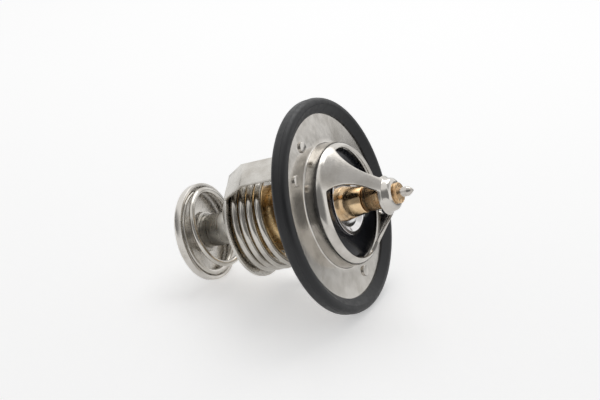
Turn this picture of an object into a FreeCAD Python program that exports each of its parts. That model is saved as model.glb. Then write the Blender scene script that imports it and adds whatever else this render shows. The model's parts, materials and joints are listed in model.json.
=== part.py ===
import FreeCAD, Part
import math
import os
import re
import Sketcher

# Engine thermostat with a bypass disc, closed and cold, lying on its side.
# Each piece is drawn in the thermostat's own frame: Z is the axis, positive towards the outlet,
# X is the radius that points at the floor, and the origin is the centre of the flange.
# Every piece then gets the same placement, which lays the thermostat down.
# The placed frame has +Z up, +X along the axis' shadow on the floor and the origin unmoved.

Vector = FreeCAD.Vector
AXIS = Vector(0, 0, 1)
TOUCH = 1e-4
SPANS_PER_TURN = 4

# Driving dimensions in millimetres and degrees. Heights are measured from the middle of the flange.
SIZES = {
    # sealing ring of rubber that grips the flange's rim, with lips that taper inwards
    "ring_wall": 2.45,
    "ring_grip": 1.7,
    "ring_width": 4.6,
    "ring_lip_edge": 0.35,
    "ring_crest_flat": 0.5,
    "ring_crest_round": 0.3,
    "edge_round": 1.5,
    "ring_flat_depth": 0.08,
    # upper frame: flange, collar, two legs and the boss that holds the plug, drawn from one sheet
    "frame_gauge": 0.9,
    "flange_diameter": 54.0,
    "collar_foot_radius": 17.1,
    "collar_top_radius": 16.7,
    "collar_top_height": 4.8,
    "shoulder_bend": 1.8,
    "foot_bend": 0.5,
    "boss_foot_radius": 4.6,
    "boss_foot_height": 16.45,
    "boss_top_radius": 4.2,
    "boss_height": 18.7,
    "boss_bend": 0.4,
    "window_radius": 15.3,
    "leg_hollow_radius": 6.5,
    "leg_neck_half_width": 2.2,
    "leg_neck_start": 7.3,
    "pad_radius": 5.3,
    "window_round": 0.7,
    "leg_angle": 32.1,
    # press joints that hold the lower frame to the flange
    "clinch_inset": 6.1,
    "clinch_radius": 1.5,
    "clinch_rise": 0.55,
    "clinch_core_radius": 0.95,
    "near_clinch_spread": 15.0,
    "far_clinch_spread": 28.0,
    "clinch_wall": 0.45,
    # lower frame: seat plate with a guide collar, two arms and two feet, bent from one sheet
    "stirrup_gauge": 0.9,
    "stirrup_angle": 37.1,
    "seat_plate_radius": 15.3,
    "seat_plate_depth": 25.0,
    "guide_hole_clearance": 0.3,
    "guide_collar_rise": 1.6,
    "guide_collar_wall": 1.1,
    "arm_width": 7.8,
    "arm_shift": 1.4,
    "facet_width": 2.95,
    "facet_depth": 0.8,
    "arm_reach": 19.9,
    "arm_knee_depth": 17.8,
    "arm_root_radius": 14.6,
    "arm_bend": 0.4,
    "foot_inner_radius": 17.9,
    "foot_clearance": 0.7,
    "foot_half_angle": 33.0,
    # adjusting plug of brass and the steel piston that it carries
    "plug_body_radius": 3.3,
    "plug_neck_radius": 2.45,
    "plug_head_radius": 2.8,
    "plug_head_height": 19.8,
    "plug_chamfer": 0.2,
    "piston_radius": 1.75,
    "piston_depth": 2.9,
    "piston_shoulder_height": 13.0,
    "pin_radius": 1.3,
    "pin_height": 23.5,
    "pin_tip_radius": 0.3,
    "pin_tip_length": 2.2,
    # brass guide of the thermal element
    "guide_nose_height": 9.4,
    "guide_nose_radius": 3.5,
    "guide_foot_radius": 4.65,
    "guide_step_height": 1.3,
    "guide_shank_radius": 6.4,
    "guide_base_radius": 8.3,
    "guide_base_top": -6.0,
    "guide_base_bottom": -8.5,
    "throat_radius": 4.2,
    "running_fit": 0.05,
    "nose_chamfer": 0.3,
    # packing in the guide behind the piston
    "backup_length": 0.9,
    "packing_length": 2.4,
    "body_gap": 0.3,
    # wax case of brass with its diaphragm and stem
    "case_radius": 9.2,
    "case_wall": 0.8,
    "case_depth": 27.4,
    "case_curl_radius": 6.9,
    "diaphragm_thickness": 1.1,
    "rivet_radius": 2.2,
    "rivet_head_radius": 3.3,
    "rivet_head_height": 0.9,
    "stem_radius": 4.6,
    "stem_depth": 46.1,
    "stem_chamfer": 0.6,
    "groove_depth": 0.75,
    "clip_gauge": 0.9,
    "clip_radius": 6.6,
    "clip_opening": 70.0,
    # main valve: disc, rubber face and the dished retainer in its middle
    "disc_gauge": 0.9,
    "disc_height": 3.0,
    "disc_radius": 14.9,
    "seal_radius": 15.4,
    "seal_inner_radius": 8.2,
    "seal_face_height": 3.95,
    "seal_lip_drop": 0.7,
    "seal_wrap_radius": 14.5,
    "seal_round": 0.3,
    "retainer_gauge": 0.4,
    "retainer_floor_radius": 6.4,
    "retainer_rim_radius": 7.7,
    "retainer_lip_radius": 8.7,
    "retainer_bend": 0.2,
    # bypass disc: a shallow cup with a hub that slides on the stem
    "bypass_radius": 13.85,
    "bypass_gauge": 1.0,
    "bypass_rim_depth": 41.1,
    "bypass_back_depth": 44.1,
    "bypass_hub_depth": 41.3,
    "hub_fit": 0.08,
    # springs
    "main_wire": 2.1,
    "main_coil_radius": 13.3,
    "main_close_turns": 3.1,
    "main_close_pitch": 2.45,
    "main_open_turns": 2.45,
    "main_head_turns": 0.75,
    "main_head_pitch": 2.3,
    "main_start_angle": -173.9,
    "spring_gap": 0.15,
    "bypass_wire": 1.6,
    "bypass_coil_radius": 11.7,
    "bypass_end_radius": 6.4,
    "bypass_flat_turns": 1.0,
    "bypass_flat_pitch": 1.8,
    "bypass_cone_turns": 1.3,
    "bypass_end_turns": 0.6,
    "bypass_start_angle": -177.9,
}

doc = FreeCAD.newDocument("thermostat")
sheet = doc.addObject("Spreadsheet::Sheet", "sizes")
for row, (alias, size) in enumerate(SIZES.items(), 1):
    sheet.set(f"A{row}", alias.replace("_", " "))
    sheet.set(f"B{row}", str(size))
    sheet.setAlias(f"B{row}", alias)
doc.recompute()


def value(expression):
    """The number that an expression on the sheet's aliases gives."""
    return float(sheet.evalExpression(bound(expression)))


def bound(expression):
    """The same expression with each alias written as a cell of the sheet."""
    return re.sub("[a-z_]+", lambda word: "sizes." * (word[0] in SIZES) + word[0], expression)


# Heights and radii that follow from the driving dimensions.
FLANGE_FRONT = "frame_gauge / 2"
FLANGE_BACK = "( 0 - frame_gauge / 2 )"
FLANGE_RADIUS = "( flange_diameter / 2 )"
RING_RADIUS = "( flange_diameter / 2 + ring_wall )"
RING_CREST = "( flange_diameter / 2 + ring_wall - edge_round - ring_crest_flat )"
RING_LIP = "( flange_diameter / 2 - ring_grip )"
RING_FRONT = "( ring_width / 2 )"
RING_BACK = "( 0 - ring_width / 2 )"
LIP_FRONT = "( frame_gauge / 2 + ring_lip_edge )"
LIP_BACK = "( 0 - frame_gauge / 2 - ring_lip_edge )"
FOOT_OUTER = "( flange_diameter / 2 - ring_grip - foot_clearance )"
FOOT_BACK = "( 0 - frame_gauge / 2 - stirrup_gauge )"
CLINCH_CIRCLE = "( flange_diameter / 2 - clinch_inset )"
PLATE_FRONT = "( 0 - seat_plate_depth )"
PLATE_BACK = "( 0 - seat_plate_depth - stirrup_gauge )"
GUIDE_HOLE = "( case_radius + guide_hole_clearance )"
PISTON_END = "( 0 - piston_depth )"
BORE = "( piston_radius + running_fit )"
BACKUP_TOP = "( 0 - piston_depth - body_gap )"
PACKING_TOP = "( 0 - piston_depth - body_gap - backup_length )"
PACKING_END = "( 0 - piston_depth - body_gap - backup_length - packing_length )"
DIAPHRAGM_BACK = "( guide_base_bottom - diaphragm_thickness )"
CASE_INNER = "( case_radius - case_wall )"
CASE_BACK = "( 0 - case_depth )"
CASE_FLOOR = "( 0 - case_depth + case_wall )"
RIVET_TOP = "( 0 - case_depth + case_wall + rivet_head_height )"
DISC_BACK = "( disc_height - disc_gauge )"
BYPASS_BACK = "( 0 - bypass_back_depth )"
BYPASS_RIM = "( 0 - bypass_rim_depth )"
BYPASS_HUB = "( 0 - bypass_hub_depth )"
BYPASS_FLOOR = "( 0 - bypass_back_depth + bypass_gauge )"
CLIP_FRONT = "( 0 - bypass_back_depth - body_gap )"
CLIP_BACK = "( 0 - bypass_back_depth - body_gap - clip_gauge )"
STEM_END = "( 0 - stem_depth )"
GROOVE_RADIUS = "( stem_radius - groove_depth )"
BOSS_UNDERSIDE = "( boss_height - frame_gauge )"
PLUG_END = "( guide_nose_height + body_gap )"

# The thermostat rests on the back edges of the sealing ring and of the bypass disc, which have the
# same round, so a line that touches both is parallel to the line through their corners. The ring
# is pressed a little flat there, which tips the thermostat down by as much.
REST_LEGS = value(f"{RING_RADIUS} - bypass_radius"), value(f"bypass_back_depth + {RING_BACK}")
REST_ANGLE = math.degrees(math.atan2(*REST_LEGS)
                          - math.asin(value("ring_flat_depth") / math.hypot(*REST_LEGS)))
LYING = FreeCAD.Placement(Vector(), FreeCAD.Rotation(Vector(0, 1, 0), 90 - REST_ANGLE))


def lay_down(piece, turn="0"):
    """Lays a finished piece down, turned round the thermostat's axis by an angle on the sheet."""
    piece.Placement = LYING * FreeCAD.Placement(Vector(), FreeCAD.Rotation(AXIS, value(turn)))


def new_body(name):
    """An empty body with the label of its node."""
    body = doc.addObject("PartDesign::Body", name)
    body.Label = name
    return body


def new_sketch(body, name, plane_role="XZ_Plane"):
    """A sketch on one of the body's own origin planes; on XZ its x is the radius and y the height."""
    sketch = body.newObject("Sketcher::SketchObject", name)
    plane = [feature for feature in body.Origin.OriginFeatures if feature.Role == plane_role][0]
    sketch.AttachmentSupport = (plane, [""])
    sketch.MapMode = "FlatFace"
    return sketch


def tie(sketch, name, constraint, expression):
    """Adds a dimension to a sketch and binds it to the sheet."""
    index = sketch.addConstraint(constraint)
    sketch.renameConstraint(index, name)
    sketch.setExpression(f"Constraints.{name}", bound(expression))


def tie_point(sketch, line, end, place):
    """Holds one end of a line at a place given by two expressions."""
    for axis, expression, other_axis in (("X", place[0], -2), ("Y", place[1], -1)):
        size = value(expression)
        if abs(size) < TOUCH:
            sketch.addConstraint(Sketcher.Constraint("PointOnObject", line, end, other_axis))
        else:
            dimension = Sketcher.Constraint(f"Distance{axis}", -1, 1, line, end, size)
            tie(sketch, f"{axis}_{line}_{end}", dimension, expression)


def draw_closed(sketch, places):
    """Draws a closed outline of straight lines through places given as expressions."""
    corners = [Vector(value(x), value(y), 0) for x, y in places]
    count = len(corners)
    for index in range(count):
        sketch.addGeometry(Part.LineSegment(corners[index], corners[(index + 1) % count]), False)
    for index in range(count):
        sketch.addConstraint(Sketcher.Constraint("Coincident", index, 2, (index + 1) % count, 1))
    for index in range(count):
        tie_point(sketch, index, 1, places[index])


def left_normal(start, end):
    """Unit vector that points to the left of a line's direction."""
    direction = (end - start).normalize()
    return Vector(-direction.y, direction.x, 0)


def offset_corners(corners, gauge):
    """Corners of the path that lies one gauge to the left of another path."""
    moved = [corners[0] + left_normal(corners[0], corners[1]) * gauge]
    for before, corner, after in zip(corners, corners[1:], corners[2:]):
        first, second = left_normal(before, corner), left_normal(corner, after)
        moved.append(corner + (first + second) * (gauge / (1 + first.dot(second))))
    moved.append(corners[-1] + left_normal(corners[-2], corners[-1]) * gauge)
    return moved


def draw_sheet(sketch, places, gauge):
    """Draws the section of a bent sheet: its face runs through the places, its back lies one gauge
    to the left of them, and its ends are square. Returns the corners of the face and the back."""
    face = [Vector(value(x), value(y), 0) for x, y in places]
    back = offset_corners(face, value(gauge))
    count = len(face) - 1
    for path in (face, back):
        for start, end in zip(path, path[1:]):
            sketch.addGeometry(Part.LineSegment(start, end), False)
    sketch.addGeometry(Part.LineSegment(face[0], back[0]), False)
    sketch.addGeometry(Part.LineSegment(face[-1], back[-1]), False)
    for index in range(count - 1):
        sketch.addConstraint(Sketcher.Constraint("Coincident", index, 2, index + 1, 1))
        sketch.addConstraint(Sketcher.Constraint("Coincident", count + index, 2, count + index + 1, 1))
    for cap, end, line in ((2 * count, 1, 0), (2 * count + 1, 2, count - 1)):
        sketch.addConstraint(Sketcher.Constraint("Coincident", cap, 1, line, end))
        sketch.addConstraint(Sketcher.Constraint("Coincident", cap, 2, line + count, end))
        sketch.addConstraint(Sketcher.Constraint("Perpendicular", cap, line))
    for index in range(count):
        sketch.addConstraint(Sketcher.Constraint("Parallel", index, count + index))
        spacing = Sketcher.Constraint("Distance", count + index, 1, index, value(gauge))
        tie(sketch, f"gauge_{index}", spacing, gauge)
    for index in range(count):
        tie_point(sketch, index, 1, places[index])
    tie_point(sketch, count - 1, 2, places[-1])
    return face, back


def revolve(body, sketch, angle=360):
    """Turns a section round the thermostat's axis."""
    feature = body.newObject("PartDesign::Revolution", f"{sketch.Name}_turned")
    feature.Profile = sketch
    feature.ReferenceAxis = (sketch, ["V_Axis"])
    feature.Angle = angle
    sketch.Visibility = False
    doc.recompute()
    return feature


def ring_edges(shape, places):
    """Names of the circular edges round the axis at the given radii and heights."""
    names = []
    for number, edge in enumerate(shape.Edges, 1):
        curve = edge.Curve
        if isinstance(curve, Part.Circle) and math.hypot(curve.Center.x, curve.Center.y) < TOUCH:
            if any(abs(curve.Radius - place.x) < TOUCH and abs(curve.Center.z - place.y) < TOUCH
                   for place in places):
                names.append(f"Edge{number}")
    return names


def cross_edges(shape, places):
    """Names of the straight edges that run across the section plane at the given places."""
    names = []
    for number, edge in enumerate(shape.Edges, 1):
        ends = [vertex.Point for vertex in edge.Vertexes]
        if len(ends) == 2 and any(all(math.hypot(end.x - place.x, end.z - place.y) < TOUCH
                                      for end in ends) for place in places):
            names.append(f"Edge{number}")
    return names


def dress(body, kind, name, base, edges, expression):
    """Rounds or chamfers the named edges of a feature by a size on the sheet."""
    feature = body.newObject(f"PartDesign::{kind}", name)
    feature.Base = (base, edges)
    size = "Radius" if kind == "Fillet" else "Size"
    feature.setExpression(size, bound(expression))
    doc.recompute()
    return feature


def round_rings(body, name, base, places, radius):
    """Rounds the circular edges at places given as expressions."""
    points = [Vector(value(x), value(y), 0) for x, y in places]
    return dress(body, "Fillet", name, base, ring_edges(base.Shape, points), radius)


def chamfer_rings(body, name, base, places, size):
    """Chamfers the circular edges at places given as expressions."""
    points = [Vector(value(x), value(y), 0) for x, y in places]
    return dress(body, "Chamfer", name, base, ring_edges(base.Shape, points), size)


def bend_sheet(body, name, base, path, corners, bend, gauge, find=ring_edges):
    """Rounds the bends of a sheet: one bend radius inside, and the gauge more outside."""
    face, back = path
    inside, outside = [], []
    for corner in corners:
        before = face[corner] - face[corner - 1]
        after = face[corner + 1] - face[corner]
        turns_to_back = before.x * after.y - before.y * after.x > 0
        inside.append(back[corner] if turns_to_back else face[corner])
        outside.append(face[corner] if turns_to_back else back[corner])
    first = dress(body, "Fillet", f"{name}_inside", base, find(base.Shape, inside), bend)
    edges = find(first.Shape, outside)
    return dress(body, "Fillet", f"{name}_outside", first, edges, f"{bend} + {gauge}")


def turned_piece(name, places, angle=360):
    """A body turned from one closed section. Returns the body and its turned feature."""
    body = new_body(name)
    sketch = new_sketch(body, f"{name}_section")
    draw_closed(sketch, places)
    return body, revolve(body, sketch, angle)


def plain_piece(name, places):
    """A piece turned from one closed section, with nothing more done to it."""
    body, _ = turned_piece(name, places)
    lay_down(body)


def raised(body, sketch, length):
    """Raises a solid from a sketch by a length on the sheet."""
    feature = body.newObject("PartDesign::Pad", f"{sketch.Name}_raised")
    feature.Profile = sketch
    feature.setExpression("Length", bound(length))
    sketch.Visibility = False
    return feature


def place_on_plan(body, feature, place, turn=FreeCAD.Rotation()):
    """Stands a primitive on the body's plan, moved to a place and turned there."""
    plane = [item for item in body.Origin.OriginFeatures if item.Role == "XY_Plane"][0]
    feature.AttachmentSupport = (plane, [""])
    feature.MapMode = "FlatFace"
    feature.AttachmentOffset = FreeCAD.Placement(place, turn)
    body.Tip = feature
    doc.recompute()


def pattern(body, name, originals):
    """Repeats features, or the whole body, half a turn on, so that there are two of each."""
    feature = body.newObject("PartDesign::PolarPattern", name)
    if originals:
        feature.Originals = originals
    else:
        feature.TransformMode = "Whole shape"
    axis = [line for line in body.Origin.OriginFeatures if line.Role == "Z_Axis"][0]
    feature.Axis = (axis, [""])
    feature.Angle = 360
    feature.Occurrences = 2
    body.Tip = feature
    doc.recompute()
    return feature


def cut_is_real(before, after, name):
    """Stops the build if a cut has left no new face."""
    if len(after.Shape.Faces) <= len(before.Shape.Faces):
        raise RuntimeError(f"{name} cuts nothing")


# Sealing ring: rubber that grips the flange's rim. It is thick at the outside, with rounded corners,
# and each of its two lips tapers from a crest down to the flange. Its back edge has a small flat
# where the weight presses it on the floor.

def sealing_ring():
    body, ring = turned_piece("sealing_ring", [
        (RING_LIP, FLANGE_FRONT), (RING_LIP, LIP_FRONT), (RING_CREST, RING_FRONT),
        (RING_RADIUS, RING_FRONT), (RING_RADIUS, RING_BACK), (RING_CREST, RING_BACK),
        (RING_LIP, LIP_BACK), (RING_LIP, FLANGE_BACK), (FLANGE_RADIUS, FLANGE_BACK),
        (FLANGE_RADIUS, FLANGE_FRONT)])
    outer = [(RING_RADIUS, RING_FRONT), (RING_RADIUS, RING_BACK)]
    crests = [(RING_CREST, RING_FRONT), (RING_CREST, RING_BACK)]
    rounded = round_rings(body, "ring_outer_round", ring, outer, "edge_round")
    crested = round_rings(body, "ring_crests", rounded, crests, "ring_crest_round")
    turn = FreeCAD.Rotation(Vector(0, 1, 0), REST_ANGLE)
    centre = Vector(value(f"{RING_RADIUS} - edge_round"), 0, value(f"{RING_BACK} + edge_round"))
    down = turn.multVec(Vector(1, 0, 0))
    drop = centre.dot(down) + value("edge_round - ring_flat_depth")
    floor = body.newObject("PartDesign::SubtractiveBox", "ring_flat")
    for size, expression in (("Length", RING_RADIUS), ("Width", f"2 * {RING_RADIUS}"),
                             ("Height", f"2 * {RING_RADIUS}")):
        floor.setExpression(size, bound(expression))
    reach = value(RING_RADIUS)
    place_on_plan(body, floor, turn.multVec(Vector(drop, -reach, -reach)), turn)
    cut_is_real(crested, floor, "ring_flat")
    lay_down(body)


# Upper frame: one drawn sheet. The section is turned, then two windows leave the two legs.

def window_sketch(body):
    """Outline of one window in plan: the rim's arc, the legs' hollow edges, the boss' pad and the
    rounds between them. The right half is drawn, and each of its curves again on the left."""
    sketch = new_sketch(body, "window_outline", "XY_Plane")
    rim, lobe = value("window_radius"), value("pad_radius")
    hollow, small = value("leg_hollow_radius"), value("window_round")
    neck, start = value("leg_neck_half_width"), value("leg_neck_start")
    bow = Vector(start, neck + hollow, 0)
    outer = meeting_point(bow, hollow - small, rim - small)
    inner = Vector(math.sqrt((lobe + small) ** 2 - (neck + small) ** 2), neck + small, 0)
    up = math.pi / 2
    slope = math.atan2(outer.y - bow.y, outer.x - bow.x)
    outer_turn, inner_turn = math.atan2(outer.y, outer.x), math.atan2(inner.y, inner.x)

    def arc(middle, radius, begin, end, side=1):
        if side < 0:
            middle, begin, end = Vector(-middle.x, middle.y, 0), 2 * up - end, 2 * up - begin
        sketch.addGeometry(Part.ArcOfCircle(Part.Circle(middle, AXIS, radius), begin, end), False)

    arc(Vector(), rim, outer_turn, 2 * up - outer_turn)
    arc(Vector(), lobe, inner_turn, 2 * up - inner_turn)
    for side in (1, -1):
        sketch.addGeometry(Part.LineSegment(Vector(side * inner.x, neck, 0),
                                            Vector(side * start, neck, 0)), False)
        arc(bow, hollow, -up, slope, side)
        arc(outer, small, slope, outer_turn, side)
        arc(inner, small, inner_turn + 2 * up, 3 * up, side)
    for first, begin, end in ((2, 1, 2), (6, 2, 1)):
        line, bowed, outer_round, inner_round = range(first, first + 4)
        for one, one_end, other, other_end in (
                (line, 1, inner_round, end), (line, 2, bowed, begin),
                (bowed, end, outer_round, begin), (outer_round, end, 0, begin),
                (inner_round, begin, 1, begin)):
            sketch.addConstraint(Sketcher.Constraint("Tangent", one, one_end, other, other_end))
        sketch.addConstraint(Sketcher.Constraint("Horizontal", line))
        side = 1 if first == 2 else -1
        tie_point(sketch, line, 2, (f"{side} * leg_neck_start", "leg_neck_half_width"))
        for curve, size in ((bowed, "leg_hollow_radius"), (outer_round, "window_round"),
                            (inner_round, "window_round")):
            tie(sketch, f"round_{curve}", Sketcher.Constraint("Radius", curve, value(size)), size)
    for curve, size in ((0, "window_radius"), (1, "pad_radius")):
        sketch.addConstraint(Sketcher.Constraint("Coincident", curve, 3, -1, 1))
        tie(sketch, f"round_{curve}", Sketcher.Constraint("Radius", curve, value(size)), size)
    return sketch


def meeting_point(centre, radius, far):
    """The point at one distance from a centre and another from the axis, on the centre's right."""
    reach = centre.Length
    along = (reach ** 2 + far ** 2 - radius ** 2) / (2 * reach)
    aside = math.sqrt(far ** 2 - along ** 2)
    direction = Vector(centre.x, centre.y, 0).normalize()
    return direction * along + Vector(direction.y, -direction.x, 0) * aside


def clinch_angles(turn="0"):
    """Angles of the four press joints in a drawing that is turned from the arms' own by an angle."""
    return [half_turn + sign * value(spread) - value(turn)
            for half_turn, spread in ((180, "near_clinch_spread"), (0, "far_clinch_spread"))
            for sign in (-1, 1)]


def clinch(body, name, kind, angle, radius, bottom, height):
    """A round button or hole of a press joint, standing along the axis."""
    feature = body.newObject(f"PartDesign::{kind}Cylinder", name)
    feature.Refine = False
    feature.setExpression("Radius", bound(radius))
    feature.setExpression("Height", bound(height))
    middle = FreeCAD.Rotation(AXIS, angle).multVec(Vector(value(CLINCH_CIRCLE), 0, 0))
    place_on_plan(body, feature, Vector(middle.x, middle.y, value(bottom)))


def upper_frame():
    body = new_body("upper_frame")
    section = new_sketch(body, "upper_frame_section")
    path = draw_sheet(section, [
        (FLANGE_RADIUS, FLANGE_FRONT), ("collar_foot_radius", FLANGE_FRONT),
        ("collar_top_radius", "collar_top_height"), ("boss_foot_radius", "boss_foot_height"),
        ("boss_top_radius", "boss_height"), ("plug_neck_radius", "boss_height")], "frame_gauge")
    blank = revolve(body, section)
    drawn = bend_sheet(body, "collar_foot", blank, path, [1], "foot_bend", "frame_gauge")
    drawn = bend_sheet(body, "shoulder", drawn, path, [2], "shoulder_bend", "frame_gauge")
    drawn = bend_sheet(body, "boss", drawn, path, [3, 4], "boss_bend", "frame_gauge")
    outline = window_sketch(body)
    window = body.newObject("PartDesign::Pocket", "window")
    window.Profile = outline
    window.Type = "ThroughAll"
    window.Reversed = True
    outline.Visibility = False
    doc.recompute()
    cut_is_real(drawn, window, "window")
    pattern(body, "windows", [window])
    for index, angle in enumerate(clinch_angles("leg_angle - stirrup_angle")):
        clinch(body, f"button_{index}", "Additive", angle, "clinch_radius", "0",
               f"{FLANGE_FRONT} + clinch_rise")
        clinch(body, f"button_core_{index}", "Subtractive", angle, "clinch_core_radius",
               FLANGE_BACK, "frame_gauge + clinch_rise - clinch_wall")
    lay_down(body, "leg_angle")


# Lower frame: the seat plate of the main spring hangs on two arms whose feet are pressed into
# the flange. The guide collar lets the wax case slide through the plate. Each arm stands a little
# to one side of its foot, and a long facet slopes its outer face down to that side.

def arm_facet(body):
    """Cuts the facet, whose plane leaves the arm's face where the arm bends at its knee."""
    facet = body.newObject("PartDesign::SubtractiveBox", "arm_facet")
    width, depth = value("facet_width"), value("facet_depth")
    facet.setExpression("Length", bound("2 * facet_width"))
    facet.setExpression("Width", bound("2 * facet_depth"))
    facet.setExpression("Height", bound("seat_plate_depth - frame_gauge / 2"))
    crease = Vector(value("arm_reach"), value("facet_width - arm_width / 2 - arm_shift"),
                    value(PLATE_FRONT))
    slope = FreeCAD.Rotation(AXIS, -90 - math.degrees(math.atan2(depth, width)))
    place_on_plan(body, facet, crease, slope)


def foot_plan(body):
    """Plan of one foot: a sector between two radii, under the flange."""
    sketch = new_sketch(body, "foot_plan", "XY_Plane")
    inner, outer = value("foot_inner_radius"), value(FOOT_OUTER)
    half = math.radians(value("foot_half_angle"))
    for radius in (inner, outer):
        circle = Part.Circle(Vector(), AXIS, radius)
        sketch.addGeometry(Part.ArcOfCircle(circle, -half, half), False)
    for angle in (-half, half):
        ray = Vector(math.cos(angle), math.sin(angle), 0)
        sketch.addGeometry(Part.LineSegment(ray * inner, ray * outer), False)
    for line, end in ((2, 1), (3, 2)):
        sketch.addConstraint(Sketcher.Constraint("Coincident", 0, end, line, 1))
        sketch.addConstraint(Sketcher.Constraint("Coincident", 1, end, line, 2))
    for curve, name, radius in ((0, "inner", "foot_inner_radius"), (1, "outer", FOOT_OUTER)):
        sketch.addConstraint(Sketcher.Constraint("Coincident", curve, 3, -1, 1))
        tie(sketch, name, Sketcher.Constraint("Radius", curve, value(radius)), radius)
    for line, sign in ((2, -1), (3, 1)):
        slant = Sketcher.Constraint("Angle", -1, 1, line, 1, sign * half)
        tie(sketch, f"slant_{line}", slant, f"{sign} * foot_half_angle * 1 deg")
        sketch.addConstraint(Sketcher.Constraint("PointOnObject", -1, 1, line))
    sketch.AttachmentOffset = FreeCAD.Placement(Vector(0, 0, value(FLANGE_BACK)),
                                                FreeCAD.Rotation())
    return sketch


def lower_frame():
    body, _ = turned_piece("lower_frame", [
        (GUIDE_HOLE, PLATE_BACK), ("seat_plate_radius", PLATE_BACK),
        ("seat_plate_radius", PLATE_FRONT), (f"{GUIDE_HOLE} + guide_collar_wall", PLATE_FRONT),
        (f"{GUIDE_HOLE} + guide_collar_wall", f"{PLATE_FRONT} + guide_collar_rise"),
        (GUIDE_HOLE, f"{PLATE_FRONT} + guide_collar_rise")])
    strap = new_sketch(body, "arm_section")
    strap.AttachmentOffset = FreeCAD.Placement(Vector(0, 0, value("arm_shift")), FreeCAD.Rotation())
    path = draw_sheet(strap, [
        ("arm_root_radius", PLATE_BACK), ("seat_plate_radius", PLATE_BACK),
        ("arm_reach", "0 - arm_knee_depth"), ("arm_reach", FLANGE_BACK)], "stirrup_gauge")
    arm = raised(body, strap, "arm_width")
    arm.Midplane = True
    doc.recompute()
    bend_sheet(body, "knee", arm, path, [1, 2], "arm_bend", "stirrup_gauge", cross_edges)
    arm_facet(body)
    foot = raised(body, foot_plan(body), "stirrup_gauge")
    foot.Reversed = True
    doc.recompute()
    pattern(body, "second_arm", [])
    for index, angle in enumerate(clinch_angles()):
        clinch(body, f"stud_{index}", "Additive", angle, "clinch_core_radius", FOOT_BACK,
               "stirrup_gauge + frame_gauge + clinch_rise - clinch_wall")
        clinch(body, f"stud_hollow_{index}", "Subtractive", angle, "clinch_core_radius / 2",
               FOOT_BACK, "stirrup_gauge + clinch_rise")
    lay_down(body, "stirrup_angle")


# Plug and piston: the plug is staked into the boss and carries the piston that the wax pushes on.

def adjusting_plug():
    body, plug = turned_piece("adjusting_plug", [
        ("piston_radius", PLUG_END), ("plug_body_radius", PLUG_END),
        ("plug_body_radius", BOSS_UNDERSIDE), ("plug_neck_radius", BOSS_UNDERSIDE),
        ("plug_neck_radius", "boss_height"), ("plug_head_radius", "boss_height"),
        ("plug_head_radius", "plug_head_height"), ("pin_radius", "plug_head_height"),
        ("pin_radius", "piston_shoulder_height"), ("piston_radius", "piston_shoulder_height")])
    chamfer_rings(body, "plug_chamfers", plug, [
        ("plug_body_radius", PLUG_END), ("plug_head_radius", "plug_head_height")], "plug_chamfer")
    lay_down(body)


def piston():
    body, pin = turned_piece("piston", [
        ("0", PISTON_END), ("piston_radius", PISTON_END),
        ("piston_radius", "piston_shoulder_height"), ("pin_radius", "piston_shoulder_height"),
        ("pin_radius", "pin_height - pin_tip_length"), ("pin_tip_radius", "pin_height"),
        ("0", "pin_height")])
    chamfer_rings(body, "piston_end_chamfer", pin, [("piston_radius", PISTON_END)], "nose_chamfer")
    lay_down(body)


# Thermal element: guide, packing, diaphragm, wax and its case.

def element_guide():
    body, guide = turned_piece("element_guide", [
        (BORE, "guide_nose_height"), ("guide_nose_radius", "guide_nose_height"),
        ("guide_foot_radius", "disc_height + retainer_gauge"),
        ("guide_foot_radius", "guide_step_height"), ("guide_shank_radius", "guide_step_height"),
        ("guide_shank_radius", "guide_base_top"), ("guide_base_radius", "guide_base_top"),
        ("guide_base_radius", "guide_base_bottom"), ("throat_radius", "guide_base_bottom"),
        (BORE, PACKING_END)])
    chamfer_rings(body, "nose_chamfers", guide,
                  [("guide_nose_radius", "guide_nose_height")], "nose_chamfer")
    lay_down(body)


def packing():
    plain_piece("backup_plate", [
        ("0", PACKING_TOP), (BORE, PACKING_TOP), (BORE, BACKUP_TOP), ("0", BACKUP_TOP)])
    plain_piece("rubber_packing", [
        ("0", PACKING_END), (BORE, PACKING_END), (BORE, PACKING_TOP), ("0", PACKING_TOP)])
    plain_piece("pressure_fluid", [
        ("0", "guide_base_bottom"), ("throat_radius", "guide_base_bottom"),
        (BORE, PACKING_END), ("0", PACKING_END)])


def wax_element():
    plain_piece("diaphragm", [
        ("0", DIAPHRAGM_BACK), (CASE_INNER, DIAPHRAGM_BACK),
        (CASE_INNER, "guide_base_bottom"), ("0", "guide_base_bottom")])
    plain_piece("wax_charge", [
        ("0", RIVET_TOP), ("rivet_head_radius", RIVET_TOP), ("rivet_head_radius", CASE_FLOOR),
        (CASE_INNER, CASE_FLOOR), (CASE_INNER, DIAPHRAGM_BACK), ("0", DIAPHRAGM_BACK)])
    body, case = turned_piece("wax_case", [
        ("rivet_radius", CASE_BACK), ("case_radius", CASE_BACK),
        ("case_radius", "guide_base_top + case_wall"),
        ("case_curl_radius", "guide_base_top + case_wall"), ("case_curl_radius", "guide_base_top"),
        (CASE_INNER, "guide_base_top"), (CASE_INNER, CASE_FLOOR), ("rivet_radius", CASE_FLOOR)])
    round_rings(body, "case_rounds", case, [
        ("case_radius", CASE_BACK), ("case_radius", "guide_base_top + case_wall")], "case_wall")
    lay_down(body)


# Main valve: a dished disc with a rubber face, held on the guide by a small dished retainer.

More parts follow.
